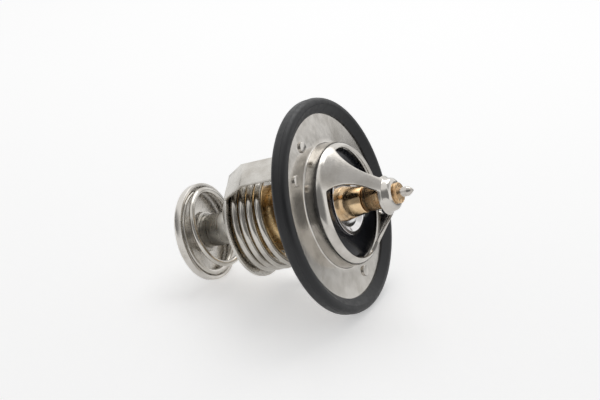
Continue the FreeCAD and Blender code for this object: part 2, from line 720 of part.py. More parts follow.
def main_valve():
    plain_piece("valve_disc", [
        ("guide_foot_radius", DISC_BACK), ("disc_radius", DISC_BACK),
        ("disc_radius", "disc_height"), ("guide_foot_radius", "disc_height")])
    body, seal = turned_piece("valve_seal", [
        ("seal_inner_radius", "disc_height"), ("seal_inner_radius", "seal_face_height"),
        ("seal_radius", "seal_face_height"), ("seal_radius", f"{DISC_BACK} - seal_lip_drop"),
        ("seal_wrap_radius", f"{DISC_BACK} - seal_lip_drop"), ("seal_wrap_radius", DISC_BACK),
        ("disc_radius", DISC_BACK), ("disc_radius", "disc_height")])
    round_rings(body, "seal_rounds", seal, [("seal_radius", "seal_face_height")], "seal_round")
    lay_down(body)
    body = new_body("seal_retainer")
    section = new_sketch(body, "seal_retainer_section")
    path = draw_sheet(section, [
        ("retainer_lip_radius", "seal_face_height + retainer_gauge"),
        ("retainer_rim_radius", "seal_face_height + retainer_gauge"),
        ("retainer_floor_radius", "disc_height + retainer_gauge"),
        ("guide_foot_radius", "disc_height + retainer_gauge")], "retainer_gauge")
    dish = revolve(body, section)
    bend_sheet(body, "retainer_bends", dish, path, [1, 2], "retainer_bend", "retainer_gauge")
    lay_down(body)


# Bypass valve: the disc slides on the stem, which is riveted to the case and ends in a clip.

def bypass_valve():
    body, stem = turned_piece("bypass_stem", [
        ("0", STEM_END), ("stem_radius", STEM_END), ("stem_radius", CLIP_BACK),
        (GROOVE_RADIUS, CLIP_BACK), (GROOVE_RADIUS, CLIP_FRONT), ("stem_radius", CLIP_FRONT),
        ("stem_radius", CASE_BACK), ("rivet_radius", CASE_BACK), ("rivet_radius", CASE_FLOOR),
        ("rivet_head_radius", CASE_FLOOR), ("rivet_head_radius", RIVET_TOP), ("0", RIVET_TOP)])
    chamfer_rings(body, "stem_end_chamfer", stem, [("stem_radius", STEM_END)], "stem_chamfer")
    lay_down(body)
    body, _ = turned_piece("stem_clip", [
        (GROOVE_RADIUS, CLIP_BACK), ("clip_radius", CLIP_BACK), ("clip_radius", CLIP_FRONT),
        (GROOVE_RADIUS, CLIP_FRONT)], angle=360 - SIZES["clip_opening"])
    lay_down(body)
    body = new_body("bypass_disc")
    section = new_sketch(body, "bypass_disc_section")
    path = draw_sheet(section, [
        ("stem_radius + hub_fit", BYPASS_HUB), ("stem_radius + hub_fit", BYPASS_BACK),
        ("bypass_radius", BYPASS_BACK), ("bypass_radius", BYPASS_RIM)], "bypass_gauge")
    cup = revolve(body, section)
    bend_sheet(body, "cup_corner", cup, path, [2], "edge_round - bypass_gauge", "bypass_gauge")
    lay_down(body)


# Springs: round wire along coils. A coil is neither a sketch nor a primitive, so its path is built
# from short arcs that run smoothly into one another, and a circle is swept along it.

def tangent_arc(start, corner, end):
    """The arc that leaves its start towards a corner and reaches its end from that corner."""
    middle = (start + end) / 2
    leg, half = (corner - start).Length, (end - middle).Length
    top = middle + (corner - middle) * (half / (leg + half))
    return Part.Arc(start, top, end).toShape()


def smooth_span(start, heading, end, last_heading):
    """Two arcs that join two places, follow the heading at each and touch where they meet."""
    span = end - start
    along = span.dot(heading + last_heading)
    turning = 2 - 2 * heading.dot(last_heading)
    leg = span.dot(span) / (along + math.sqrt(along ** 2 + turning * span.dot(span)))
    first, second = start + heading * leg, end - last_heading * leg
    joint = (first + second) / 2
    return [tangent_arc(start, first, joint), tangent_arc(joint, second, end)]


def coil_nodes(stages, angle, height):
    """Places along a coil that winds up, with their headings. Each stage starts where the one
    before it ends, and is (turns, rise, first radius, last radius)."""
    nodes = []
    for turns, rise, first, last in stages:
        nodes = nodes[:-1]
        count = math.ceil(turns * SPANS_PER_TURN)
        for step in range(count + 1):
            share = step / count
            radius = first + (last - first) * share
            spin = FreeCAD.Rotation(AXIS, angle + 360 * turns * share)
            heading = Vector(last - first, math.tau * turns * radius, rise).normalize()
            place = Vector(radius, 0, height + rise * share)
            nodes.append((spin.multVec(place), spin.multVec(heading)))
        angle += 360 * turns
        height += rise
    return nodes


def spring(name, wire, angle, height, stages):
    """A coil spring of round wire. Each stage is (turns, rise, first radius, last radius)."""
    nodes = coil_nodes(stages, angle, height)
    arcs = [arc for start, end in zip(nodes, nodes[1:]) for arc in smooth_span(*start, *end)]
    profile = Part.Wire([Part.Circle(*nodes[0], wire / 2).toShape()])
    piece = doc.addObject("Part::Feature", name)
    piece.Label = name
    piece.Shape = Part.Wire(arcs).makePipeShell([profile], True, True)
    lay_down(piece)


def springs():
    wire, radius = value("main_wire"), value("main_coil_radius")
    bottom = value(f"{PLATE_FRONT} + main_wire / 2")
    top = value(f"{DISC_BACK} - spring_gap - main_wire / 2")
    close_rise = value("main_close_turns * main_close_pitch")
    head_rise = value("main_head_turns * main_head_pitch")
    spring("main_spring", wire, value("main_start_angle"), bottom, [
        (value("main_close_turns"), close_rise, radius, radius),
        (value("main_open_turns"), top - bottom - close_rise - head_rise, radius, radius),
        (value("main_head_turns"), head_rise, radius, radius)])
    wire, wide = value("bypass_wire"), value("bypass_coil_radius")
    narrow = value("bypass_end_radius")
    bottom = value(f"{BYPASS_FLOOR} + spring_gap + bypass_wire / 2")
    top = value(f"{CASE_BACK} - bypass_wire / 2")
    flat_rise = value("bypass_flat_turns * bypass_flat_pitch")
    end_rise = value("bypass_end_turns * bypass_flat_pitch")
    spring("bypass_spring", wire, value("bypass_start_angle"), bottom, [
        (value("bypass_flat_turns"), flat_rise, wide, wide),
        (value("bypass_cone_turns"), top - bottom - flat_rise - end_rise, wide, narrow),
        (value("bypass_end_turns"), end_rise, narrow, narrow)])


upper_frame()
sealing_ring()
lower_frame()
adjusting_plug()
piston()
element_guide()
packing()
wax_element()
main_valve()
bypass_valve()
springs()
doc.recompute()

pieces = [item for item in doc.Objects if item.TypeId in ("PartDesign::Body", "Part::Feature")]
for item in doc.Objects:
    if {"Invalid", "Error"} & set(item.State):
        raise RuntimeError(f"{item.Name} failed: {item.State}")
for piece in pieces:
    if piece.Shape.isNull() or not piece.Shape.isValid():
        raise RuntimeError(f"{piece.Label} has no valid shape")

os.makedirs("parts", exist_ok=True)
for piece in pieces:
    piece.Shape.exportStep(f"parts/{piece.Label}.step")
    box = piece.Shape.BoundBox
    print(f"{piece.Label}: {len(piece.Shape.Solids)} solid, {piece.Shape.Volume:.1f} mm3, "
          f"Z {box.ZMin:.2f} to {box.ZMax:.2f}")
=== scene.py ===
"""Dresses a car's coolant thermostat that lies on its side on a white table.

Every piece is built in the thermostat's own frame, in millimetres: Z is the axis, positive towards
the outlet, and the origin is the middle of the flange. Each finished mesh is laid down once, by the
placement that the frame's own slide axis gives.
"""

import json
import logging
import math
from collections.abc import Callable, Sequence
from dataclasses import dataclass, field
from enum import Enum
from typing import NamedTuple

import bmesh
import bpy
from bmesh.types import BMEdge, BMesh, BMVert
from bpy.types import Material, Mesh, NodeSocket, NodeTree, Object, World
from mathutils import Matrix, Vector, noise

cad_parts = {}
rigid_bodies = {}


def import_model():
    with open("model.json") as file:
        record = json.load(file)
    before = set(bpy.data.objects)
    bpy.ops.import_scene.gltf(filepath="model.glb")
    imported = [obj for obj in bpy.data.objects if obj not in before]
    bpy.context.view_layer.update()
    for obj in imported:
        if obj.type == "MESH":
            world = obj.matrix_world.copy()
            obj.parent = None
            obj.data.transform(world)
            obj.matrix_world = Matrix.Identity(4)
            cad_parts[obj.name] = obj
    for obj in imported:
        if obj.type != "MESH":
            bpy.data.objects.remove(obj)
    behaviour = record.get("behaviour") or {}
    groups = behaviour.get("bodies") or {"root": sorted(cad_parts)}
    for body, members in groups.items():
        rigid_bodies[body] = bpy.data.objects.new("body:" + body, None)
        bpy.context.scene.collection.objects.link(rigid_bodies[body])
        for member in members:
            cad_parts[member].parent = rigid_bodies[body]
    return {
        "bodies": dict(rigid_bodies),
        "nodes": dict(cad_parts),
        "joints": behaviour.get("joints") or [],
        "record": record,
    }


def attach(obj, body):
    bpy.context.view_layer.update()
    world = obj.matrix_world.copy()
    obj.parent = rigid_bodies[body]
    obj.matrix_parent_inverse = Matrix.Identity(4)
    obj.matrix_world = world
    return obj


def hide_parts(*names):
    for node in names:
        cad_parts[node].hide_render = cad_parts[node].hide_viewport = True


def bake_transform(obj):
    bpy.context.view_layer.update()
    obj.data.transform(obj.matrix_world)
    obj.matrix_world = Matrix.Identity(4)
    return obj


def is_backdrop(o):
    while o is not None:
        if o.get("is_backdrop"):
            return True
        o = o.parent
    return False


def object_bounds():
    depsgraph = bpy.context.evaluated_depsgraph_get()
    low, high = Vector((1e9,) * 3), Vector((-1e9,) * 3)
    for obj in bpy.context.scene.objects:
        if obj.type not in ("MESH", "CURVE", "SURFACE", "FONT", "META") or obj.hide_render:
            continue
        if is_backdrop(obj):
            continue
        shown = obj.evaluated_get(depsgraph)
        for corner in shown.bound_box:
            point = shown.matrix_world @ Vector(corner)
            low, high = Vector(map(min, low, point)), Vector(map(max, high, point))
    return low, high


LOG = logging.getLogger("thermostat")
MM = 0.001
TURN = 2 * math.pi
ORIGIN = (0.0, 0.0, 0.0)
AXIS = (0.0, 0.0, 1.0)
MERGE = 1e-4
SHARP_ANGLE = math.radians(38)
GRAIN_RELIEF = 0.05 * MM
# Rounds of worked edges, in millimetres.
CRISP, FINE, SOFT, EASED = 0.1, 0.15, 0.2, 0.3

Profile = list[tuple[float, float]]
# Corners of a section or a path, each written as the values of a Corner.
Outline = Sequence[tuple[float, ...]]


class Corner(NamedTuple):
    """A corner of a section: its radius and height on the axis, and how round it is."""

    radius: float
    height: float
    rounding: float = 0.0

    @property
    def point(self) -> Vector:
        """The corner's place in the section's plane."""
        return Vector((self.radius, self.height))


@dataclass(frozen=True)
class Shared:
    """Sizes that several pieces have in common, in millimetres and degrees."""

    sheet_gauge: float = 0.9
    flange_radius: float = 27.0
    boss_height: float = 18.7
    plug_neck: float = 2.45
    arm_angle: float = 37.1
    guide_foot: float = 4.65
    disc_height: float = 3.0
    disc_gauge: float = 0.9
    case_back: float = -27.4
    rivet_radius: float = 2.2
    plate_front: float = -25.0
    cup_gauge: float = 1.0
    cup_back: float = -44.1
    edge_round: float = 1.5


SHARED = Shared()


def linear(colour: str) -> tuple[float, float, float, float]:
    """Turns an sRGB hex colour into linear values.

    Args:
        colour: Six hexadecimal digits, such as "8f8a80".

    Returns:
        Red, green, blue and an alpha of 1.
    """
    shares = [int(colour[start:start + 2], 16) / 255 for start in (0, 2, 4)]
    red, green, blue = (s / 12.92 if s <= 0.04045 else ((s + 0.055) / 1.055) ** 2.4 for s in shares)
    return red, green, blue, 1.0


def add_node(tree: NodeTree, kind: str, settings: dict | None = None,
             inputs: dict | None = None) -> bpy.types.Node:
    """Adds a shader node, sets it up and links it.

    Args:
        tree: The tree that gets the node.
        kind: The node's type, without the words that each type begins with.
        settings: Attributes of the node.
        inputs: A value, or a socket to link from, for each input by its name or index.

    Returns:
        The new node.
    """
    node = tree.nodes.new(f"ShaderNode{kind}")
    for name, setting in (settings or {}).items():
        setattr(node, name, setting)
    for name, source in (inputs or {}).items():
        if isinstance(source, NodeSocket):
            tree.links.new(source, node.inputs[name])
        else:
            node.inputs[name].default_value = source
    return node


def bare_tree(holder: Material | World) -> NodeTree:
    """Gives a material or the world an empty node tree.

    Args:
        holder: The material or the world.

    Returns:
        The empty tree.
    """
    holder.use_nodes = True
    holder.node_tree.nodes.clear()
    return holder.node_tree


def own_place(tree: NodeTree, turn: Matrix) -> NodeSocket:
    """Gives a material its place on the thermostat, in millimetres.

    Args:
        tree: The material's node tree.
        turn: Rotation that lays the thermostat down.

    Returns:
        The place in the thermostat's own frame, where Z is the axis.
    """
    mapping = add_node(tree, "Mapping", inputs={
        "Vector": add_node(tree, "TexCoord").outputs["Object"],
        "Rotation": turn.transposed().to_euler(), "Scale": [1 / MM] * 3})
    return mapping.outputs["Vector"]


@dataclass(frozen=True)
class Surface:
    """A solid surface whose colour, gloss and relief vary from place to place.

    Attributes:
        name: The material's name.
        colour: sRGB colour of the clean surface.
        patched: sRGB colour of its patches.
        roughness: Mean roughness.
        depth: How deep the grain cuts, as a bump strength.
        metallic: 1 for a bare metal.
        levels: Noise levels at which the gloss is best and worst.
        gloss_spread: The best and the worst gloss, as shares of the mean roughness.
    """

    name: str
    colour: str
    patched: str
    roughness: float
    depth: float = field(default=0.12, kw_only=True)
    metallic: float = field(default=0.0, kw_only=True)
    levels: tuple[float, float] = field(default=(0.3, 0.7), kw_only=True)
    gloss_spread: tuple[float, float] = field(default=(0.8, 1.2), kw_only=True)

    def build(self, turn: Matrix) -> Material:
        """Makes the material, drawn in the thermostat's own directions that the turn gives.

        Args:
            turn: Rotation that lays the thermostat down.

        Returns:
            The finished material.
        """
        material = bpy.data.materials.new(self.name)
        tree = bare_tree(material)
        share, grain, wear = self.draw(tree, own_place(tree, turn))
        best, worst = (self.roughness * spread for spread in self.gloss_spread)
        gloss = add_node(tree, "MapRange", inputs={
            "Value": wear, "From Min": self.levels[0], "From Max": self.levels[1],
            "To Min": best, "To Max": worst})
        tint = add_node(tree, "Mix", {"data_type": "RGBA"}, {
            0: share, 6: linear(self.colour), 7: linear(self.patched)})
        bump = add_node(tree, "Bump", inputs={
            "Strength": self.depth, "Distance": GRAIN_RELIEF, "Height": grain})
        shader = add_node(tree, "BsdfPrincipled", inputs={
            "Base Color": tint.outputs[2], "Metallic": self.metallic,
            "Roughness": gloss.outputs["Result"], "Normal": bump.outputs["Normal"]})
        add_node(tree, "OutputMaterial", inputs={"Surface": shader.outputs["BSDF"]})
        return material

    def draw(self, tree: NodeTree, place: NodeSocket) -> tuple[NodeSocket, NodeSocket, NodeSocket]:
        """Draws what varies.

        Args:
            tree: The material's node tree.
            place: Place on the thermostat, in millimetres.

        Returns:
            How much of the patches' colour shows, the grain's height and the wear of the gloss.
        """
        raise NotImplementedError


@dataclass(frozen=True)
class Moulded(Surface):
    """A moulded or cast non-metal whose colour and gloss vary a little.

    Attributes:
        grain_mm: Size of its unevenness.
    """

    grain_mm: float = 1.2

    def draw(self, tree: NodeTree, place: NodeSocket) -> tuple[NodeSocket, NodeSocket, NodeSocket]:
        """Draws one fine noise, which everything follows.

        Args:
            tree: The material's node tree.
            place: Place on the thermostat, in millimetres.

        Returns:
            The same noise three times.
        """
        grain = add_node(tree, "TexNoise", inputs={
            "Vector": place, "Scale": 1 / self.grain_mm, "Detail": 5.0}).outputs["Fac"]
        return grain, grain, grain


@dataclass(frozen=True)
class Metal(Surface):
    """A bare metal with a worked grain, faint stains and small uneven spots in its gloss.

    Attributes:
        grain_mm: Size of the grain along the thermostat's X, Y and Z. For a turned finish, the
            first is the spacing of the turning marks and the others aren't used.
        turned: Whether the marks run round the axis.
        patch_mm: Size of the stained patches.
        stained: Noise levels at which the stain starts and is full.
    """

    grain_mm: tuple[float, float, float] = (0.7, 0.7, 0.7)
    turned: bool = False
    patch_mm: float = 7.0
    depth: float = field(default=0.1, kw_only=True)
    metallic: float = field(default=1.0, kw_only=True)
    levels: tuple[float, float] = field(default=(0.7, 1.3), kw_only=True)
    gloss_spread: tuple[float, float] = field(default=(0.7, 1.35), kw_only=True)
    stained: tuple[float, float] = field(default=(0.45, 0.75), kw_only=True)

    def draw(self, tree: NodeTree, place: NodeSocket) -> tuple[NodeSocket, NodeSocket, NodeSocket]:
        """Draws the stains and the grain, whose sum wears the gloss.

        Args:
            tree: The material's node tree.
            place: Place on the thermostat, in millimetres.

        Returns:
            The share of the stains, the grain's height and the sum of both noises.
        """
        stains = add_node(tree, "TexNoise", inputs={
            "Vector": place, "Scale": 1 / self.patch_mm, "Detail": 4.0,
            "Roughness": 0.6}).outputs["Fac"]
        share = add_node(tree, "MapRange", inputs={
            "Value": stains, "From Min": self.stained[0], "From Max": self.stained[1]})
        grain = self.grain(tree, place)
        wear = add_node(tree, "Math", {"operation": "ADD"}, {0: grain, 1: stains})
        return share.outputs["Result"], grain, wear.outputs[0]

    def grain(self, tree: NodeTree, place: NodeSocket) -> NodeSocket:
        """Draws the grain, as marks round the axis or along the three directions.

        Args:
            tree: The material's node tree.
            place: Place on the thermostat, in millimetres.

        Returns:
            The grain's height between 0 and 1.
        """
        if self.turned:
            parts = add_node(tree, "SeparateXYZ", inputs={"Vector": place}).outputs
            flat = add_node(tree, "CombineXYZ", inputs={"X": parts["X"], "Y": parts["Y"]})
            radius = add_node(tree, "VectorMath", {"operation": "LENGTH"}, {0: flat.outputs[0]})
            rings = add_node(tree, "CombineXYZ", inputs={"X": radius.outputs["Value"],
                                                         "Y": parts["Z"]})
            marks = add_node(tree, "TexNoise", {"noise_dimensions": "2D"}, {
                "Vector": rings.outputs[0], "Scale": 1 / self.grain_mm[0], "Detail": 2.0})
        else:
            drawn = add_node(tree, "Mapping", inputs={
                "Vector": place, "Scale": [1 / size for size in self.grain_mm]})
            marks = add_node(tree, "TexNoise", inputs={
                "Vector": drawn.outputs[0], "Scale": 1.0, "Detail": 3.0})
        return marks.outputs["Fac"]


class Finish(Enum):
    """The finishes of the thermostat's pieces, each under its slot in the record.

    Grains finer than half a millimetre are drawn at about that size, or the picture, which has
    four pixels to the millimetre, would lose them.
    """

    # Cold-drawn sheet, tumbled: cloudy grey with soft, slightly wavy reflections.
    frame_steel = Metal("drawn stainless sheet, tumbled", "d2cec8", "b6b1a9", 0.17, (0.9, 0.9, 0.9),
                        depth=0.07)
    # Rolled strip: the grain runs along the arms, which spreads their highlight sideways.
    stirrup_steel = Metal("rolled stainless strip, satin", "d2cfc9", "b8b3ab", 0.25,
                          (0.5, 0.5, 5.0))
    # Moulded ring: nearly black, with a broad dull sheen from handling.
    ring_rubber = Moulded("moulded nitrile rubber", "0f1013", "1c1d20", 0.44)
    # Moulded seal: black and wet-looking; the faint blue cast of its colour is a painted reflection
    # of the room.
    seal_rubber = Moulded("moulded seal rubber, glossy", "14161b", "1d2028", 0.2)
    # Inner rubbers: plain black, never seen closely.
    inner_rubber = Moulded("moulded nitrile rubber, plain", "141414", "1c1c1c", 0.5)
    # Turned plug with a staked face: pinkish gold, coarse and speckled.
    plug_brass = Metal("turned brass, staked", "e0c096", "b98a5c", 0.26, (0.6, 0.6, 0.6), True,
                       2.0, depth=0.25)
    # Turned guide: bright rings round the nose.
    guide_brass = Metal("turned brass, bright", "f0d3aa", "d8b07c", 0.22, (0.5, 0.5, 0.5), True,
                        5.0, depth=0.05)
    # Drawn case: a smooth golden skin, faintly stained.
    case_brass = Metal("drawn brass", "efcf9b", "d9b278", 0.26, (1.2, 1.2, 4.0), patch_mm=6.0,
                       depth=0.04)
    # Ground piston: a fine mirror with thin rings.
    piston_steel = Metal("ground steel", "cfcac4", "b3aca4", 0.16, (0.5, 0.5, 0.5), True, 4.0)
    # Stamped disc: satin, mostly hidden by the rubber.
    disc_steel = Metal("stamped stainless disc", "bdb9b2", "98938b", 0.3)
    # Stamped dish: very bright and nearly a mirror.
    retainer_steel = Metal("bright stamped stainless", "e6e4e4", "cfccca", 0.1, depth=0.05)
    # Drawn wire: glossy, so each coil shows one bright and one dark line.
    spring_wire = Metal("drawn stainless wire", "cfcbc4", "a9a39a", 0.15, (0.8, 0.8, 0.8),
                        depth=0.06)
    # Finer wire with the same gloss.
    bypass_wire = Metal("drawn stainless wire, fine", "d0ccc5", "aca69d", 0.15, depth=0.06)
    # Stamped cup: satin with long soft clouds from the press.
    cup_steel = Metal("stamped stainless cup, satin", "d2cec8", "b4afa7", 0.24, (1.5, 1.5, 3.0),
                      depth=0.05)
    # Turned stem: dull grey rings.
    stem_steel = Metal("turned steel, dull", "cbc8c1", "a39f98", 0.3, (0.6, 0.6, 0.6), True,
                       depth=0.05)
    # Spring steel clip: dark, with a blunt gleam.
    clip_steel = Metal("spring steel, dark", "7b7b7d", "5d5d60", 0.35)
    # Wax: brown, cloudy from the copper powder in it.
    wax = Moulded("wax with copper powder", "8a5a35", "a06c42", 0.6)
    # Grease: dark amber and wet.
    fluid = Moulded("grease", "6a5c33", "75683c", 0.3)
    # Backup plate: white plastic with a waxy gloss.
    backup_plastic = Moulded("low-friction plastic, white", "e6e6e0", "dcdcd5", 0.4)


@dataclass(frozen=True)
class Stretch:
    """Two bodies that a spring joins, and the heights of its two ends."""

    low_body: str
    high_body: str
    low: float
    high: float


class Workshop:
    """Keeps the frame, lays finished meshes down and hands out materials."""

    def __init__(self, frame: dict, low: float) -> None:
        """Reads the thermostat's axis from the frame's valve joint.

        Args:
            frame: The frame as it was loaded.
            low: Height of the floor, in metres.
        """
        lift = next(joint for joint in frame["joints"] if joint["name"] == "valve_lift")
        self.axis = -Vector(lift["axis"]).normalized()
        across = Vector((0, 1, 0))
        turn = Matrix((across.cross(self.axis), across, self.axis)).transposed()
        self.lying = turn.to_4x4() @ Matrix.Scale(MM, 4)
        self.down = turn.transposed() @ Vector((0, 0, -1))
        self.drop = -low / MM
        self.slots = {part["node"]: part["material_slot"] for part in frame["record"]["subparts"]}
        self.bodies = {node: body for body, nodes in frame["record"]["behaviour"]["bodies"].items()
                       for node in nodes}
        self.materials = {finish.name: finish.value.build(turn) for finish in Finish}

    def dress(self, piece: Object, slot: str) -> None:
        """Gives a piece the finish of a material slot."""
        piece.data.materials.clear()
        piece.data.materials.append(self.materials[slot])

    def place(self, mesh: BMesh, node: str, turn: float = 0.0,
              stretch: Stretch | None = None) -> None:
        """Turns a finished bmesh into the piece that stands for a frame node.

        Args:
            mesh: The piece in the thermostat's own frame, in millimetres.
            node: The frame node that it replaces.
            turn: Angle round the axis, in degrees.
            stretch: Two bodies that the piece spans, if it doesn't ride on one; such a piece is
                baked where it is built, and the bodies and heights in the stretch are not read.
        """
        slot = self.slots[node]
        piece = given_object(f"{node}_piece", mesh)
        piece.data.transform(self.lying @ Matrix.Rotation(math.radians(turn), 4, "Z"))
        shade(piece.data)
        self.dress(piece, slot)
        if stretch is None:
            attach(piece, self.bodies[node])
        else:
            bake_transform(piece)
        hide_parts(node)
        LOG.info("%s: %d faces", node, len(piece.data.polygons))


def added(name: str, data: bpy.types.ID | None) -> Object:
    """Makes an object and puts it in the scene.

    Args:
        name: The object's name.
        data: What the object holds, such as a mesh.

    Returns:
        The new object.
    """
    made = bpy.data.objects.new(name, data)
    bpy.context.scene.collection.objects.link(made)
    return made


def given_object(name: str, mesh: BMesh) -> Object:
    """Makes an object of a finished bmesh, which is used up.

    Args:
        name: The object's name.
        mesh: The mesh.

    Returns:
        The new object.
    """
    data = bpy.data.meshes.new(name)
    mesh.to_mesh(data)
    mesh.free()
    return added(name, data)


def taken_mesh(piece: Object) -> BMesh:
    """Takes an object's mesh with its modifiers applied, and removes the object.

    Args:
        piece: The object.

    Returns:
        The mesh.
    """
    graph = bpy.context.evaluated_depsgraph_get()
    graph.update()
    mesh = bmesh.new()
    mesh.from_mesh(bpy.data.meshes.new_from_object(piece.evaluated_get(graph)))
    bpy.data.objects.remove(piece)
    return mesh


def shade(mesh: Mesh) -> None:
    """Shades a mesh smooth, apart from its real edges and those already marked sharp.

    Args:
        mesh: The mesh.
    """
    work = bmesh.new()
    work.from_mesh(mesh)
    for face in work.faces:
        face.smooth = True
    for edge in work.edges:
        soft = len(edge.link_faces) == 2 and edge.calc_face_angle(0) < SHARP_ANGLE
        edge.smooth = edge.smooth and soft
    work.to_mesh(mesh)
    work.free()


def closed(mesh: BMesh, gap: float = MERGE) -> BMesh:
    """Merges what lies within a gap and points all faces outwards.

    Args:
        mesh: The mesh.
        gap: How far apart merged points may lie, in millimetres.

    Returns:
        The same mesh.
    """
    bmesh.ops.remove_doubles(mesh, verts=mesh.verts, dist=gap)
    bmesh.ops.recalc_face_normals(mesh, faces=mesh.faces)
    return mesh


def swung(mesh: BMesh, angle: float) -> BMesh:
    """Turns a mesh round the axis, by an angle in degrees.

    Args:
        mesh: The mesh.
        angle: The angle, in degrees.

    Returns:
        The same mesh.
    """
    bmesh.ops.rotate(mesh, verts=mesh.verts, cent=ORIGIN,
                     matrix=Matrix.Rotation(math.radians(angle), 3, "Z"))
    return mesh


def join(target: BMesh, *others: BMesh) -> BMesh:
    """Adds other meshes to the first one.

    Args:
        target: The mesh that grows.
        *others: The meshes that it takes in, which are used up.

    Returns:
        The first mesh.
    """
    for other in others:
        data = bpy.data.meshes.new("joined")
        other.to_mesh(data)
        other.free()
        target.from_mesh(data)
        bpy.data.meshes.remove(data)
    return target


def section(outline: Outline, segments: int) -> BMesh:
    """Draws a closed section with round corners as one face on the XZ plane.

    Args:
        outline: The section's corners, in order.
        segments: Steps in each round.

    Returns:
        A bmesh with the section's face.
    """
    mesh = bmesh.new()
    corners = [Corner(*corner) for corner in outline]
    points = [mesh.verts.new((corner.radius, 0, corner.height)) for corner in corners]
    mesh.faces.new(points)
    around = zip(points, [*corners[-1:], *corners], corners, [*corners[1:], corners[0]])
    for point, before, corner, after in around:
        if corner.rounding:
            half = (before.point - corner.point).angle(after.point - corner.point) / 2
            bmesh.ops.bevel(mesh, geom=[point], offset=corner.rounding / math.tan(half),
                            offset_type="OFFSET", affect="VERTICES", segments=segments,
                            profile=0.5, material=-1)
    return mesh


def turned(outline: Outline, steps: int = 192, segments: int = 5) -> BMesh:
    """Turns a section round the axis.

    Args:
        outline: The section's corners, in order.
        steps: Steps in the full turn.
        segments: Steps in each round of the section.

    Returns:
        The closed solid.
    """
    mesh = section(outline, segments)
    bmesh.ops.delete(mesh, geom=mesh.faces[:], context="FACES_ONLY")
    on_axis = [edge for edge in mesh.edges if all(abs(end.co.x) < MERGE for end in edge.verts)]
    bmesh.ops.delete(mesh, geom=on_axis, context="EDGES")
    bmesh.ops.spin(mesh, geom=mesh.verts[:] + mesh.edges[:], cent=ORIGIN, axis=AXIS, dvec=ORIGIN,
                   angle=TURN, steps=steps, use_merge=True)
    return closed(mesh)


def part_turned(outline: Outline, start: float, angle: float, steps: int = 64,
                segments: int = 3) -> BMesh:
    """Turns a section through part of a turn and closes both ends.

    Args:
        outline: The section's corners, in order.
        start: Angle of the first end, in degrees.
        angle: Angle between the ends, in degrees.
        steps: Steps between the ends.
        segments: Steps in each round of the section.

    Returns:
        The closed solid.
    """
    mesh = section(outline, segments)
    bmesh.ops.spin(mesh, geom=mesh.faces[:], cent=ORIGIN, axis=AXIS, dvec=ORIGIN,
                   angle=math.radians(angle), steps=steps, use_merge=False)
    bmesh.ops.recalc_face_normals(mesh, faces=mesh.faces)
    return swung(mesh, start)


def bent(path: Outline, gauge: float, cut: float = CRISP) -> list[Corner]:
    """Draws the section of a bent sheet.

    Args:
        path: Corners of the sheet's face, each with the inside radius of its bend. The back lies
            one gauge to their left.
        gauge: The sheet's thickness.
        cut: Round of its cut ends.

    Returns:
        The closed outline, along the face and back along the back.
    """
    corners = [Corner(*corner) for corner in path]
    points = [corner.point for corner in corners]
    steps = [after - before for before, after in zip(points, points[1:])]
    lefts = [Vector((-step.y, step.x)).normalized() for step in steps]
    face = [Corner(*points[0], cut)]
    back = [Corner(*(points[0] + lefts[0] * gauge), cut)]
    for corner, step, after, first, second in zip(corners[1:], steps, steps[1:], lefts, lefts[1:]):
        behind = corner.point + (first + second) * (gauge / (1 + first.dot(second)))
        tight, wide = corner.rounding, corner.rounding + gauge
        to_back = step.x * after.y > step.y * after.x
        face.append(Corner(*corner.point, wide if to_back else tight))
        back.append(Corner(*behind, tight if to_back else wide))
    face.append(Corner(*points[-1], cut))
    back.append(Corner(*(points[-1] + lefts[-1] * gauge), cut))
    return face + back[::-1]


def cut_off(mesh: BMesh, place: Vector, normal: Vector) -> list[BMEdge]:
    """Cuts away what lies beyond a plane and closes the cut.

    Args:
        mesh: A closed solid.
        place: A point of the plane.
        normal: Direction that points at what goes.

    Returns:
        The edges round the new face.
    """
    cut = bmesh.ops.bisect_plane(mesh, geom=mesh.verts[:] + mesh.edges[:] + mesh.faces[:],
                                 plane_co=place, plane_no=normal, clear_outer=True)
    rim = [item for item in cut["geom_cut"] if isinstance(item, BMEdge)]
    bmesh.ops.edgeloop_fill(mesh, edges=rim)
    bmesh.ops.recalc_face_normals(mesh, faces=mesh.faces)
    return rim


def rounded_path(path: Outline, segments: int = 8) -> Profile:
    """Follows a path of straight lines whose corners are true arcs.

    Args:
        path: The path's corners, each with the radius of its arc.
        segments: Steps in each arc.

    Returns:
        Radius and height of each point.
    """
    corners = [Corner(*corner) for corner in path]
    points = [corners[0][:2]]
    for before, corner, after in zip(corners, corners[1:], corners[2:]):
        here = corner.point
        back = (before.point - here).normalized()
        ahead = (after.point - here).normalized()
        half = back.angle(ahead) / 2
        reach = corner.rounding / math.tan(half)
        middle = here + (back + ahead).normalized() * (corner.rounding / math.sin(half))
        first, last = here + back * reach - middle, here + ahead * reach - middle
        swing = first.angle_signed(last)
        for step in range(segments + 1):
            spoke = first.copy()
            spoke.rotate(Matrix.Rotation(-swing * step / segments, 2))
            points.append(tuple(middle + spoke))
    return points + [corners[-1][:2]]


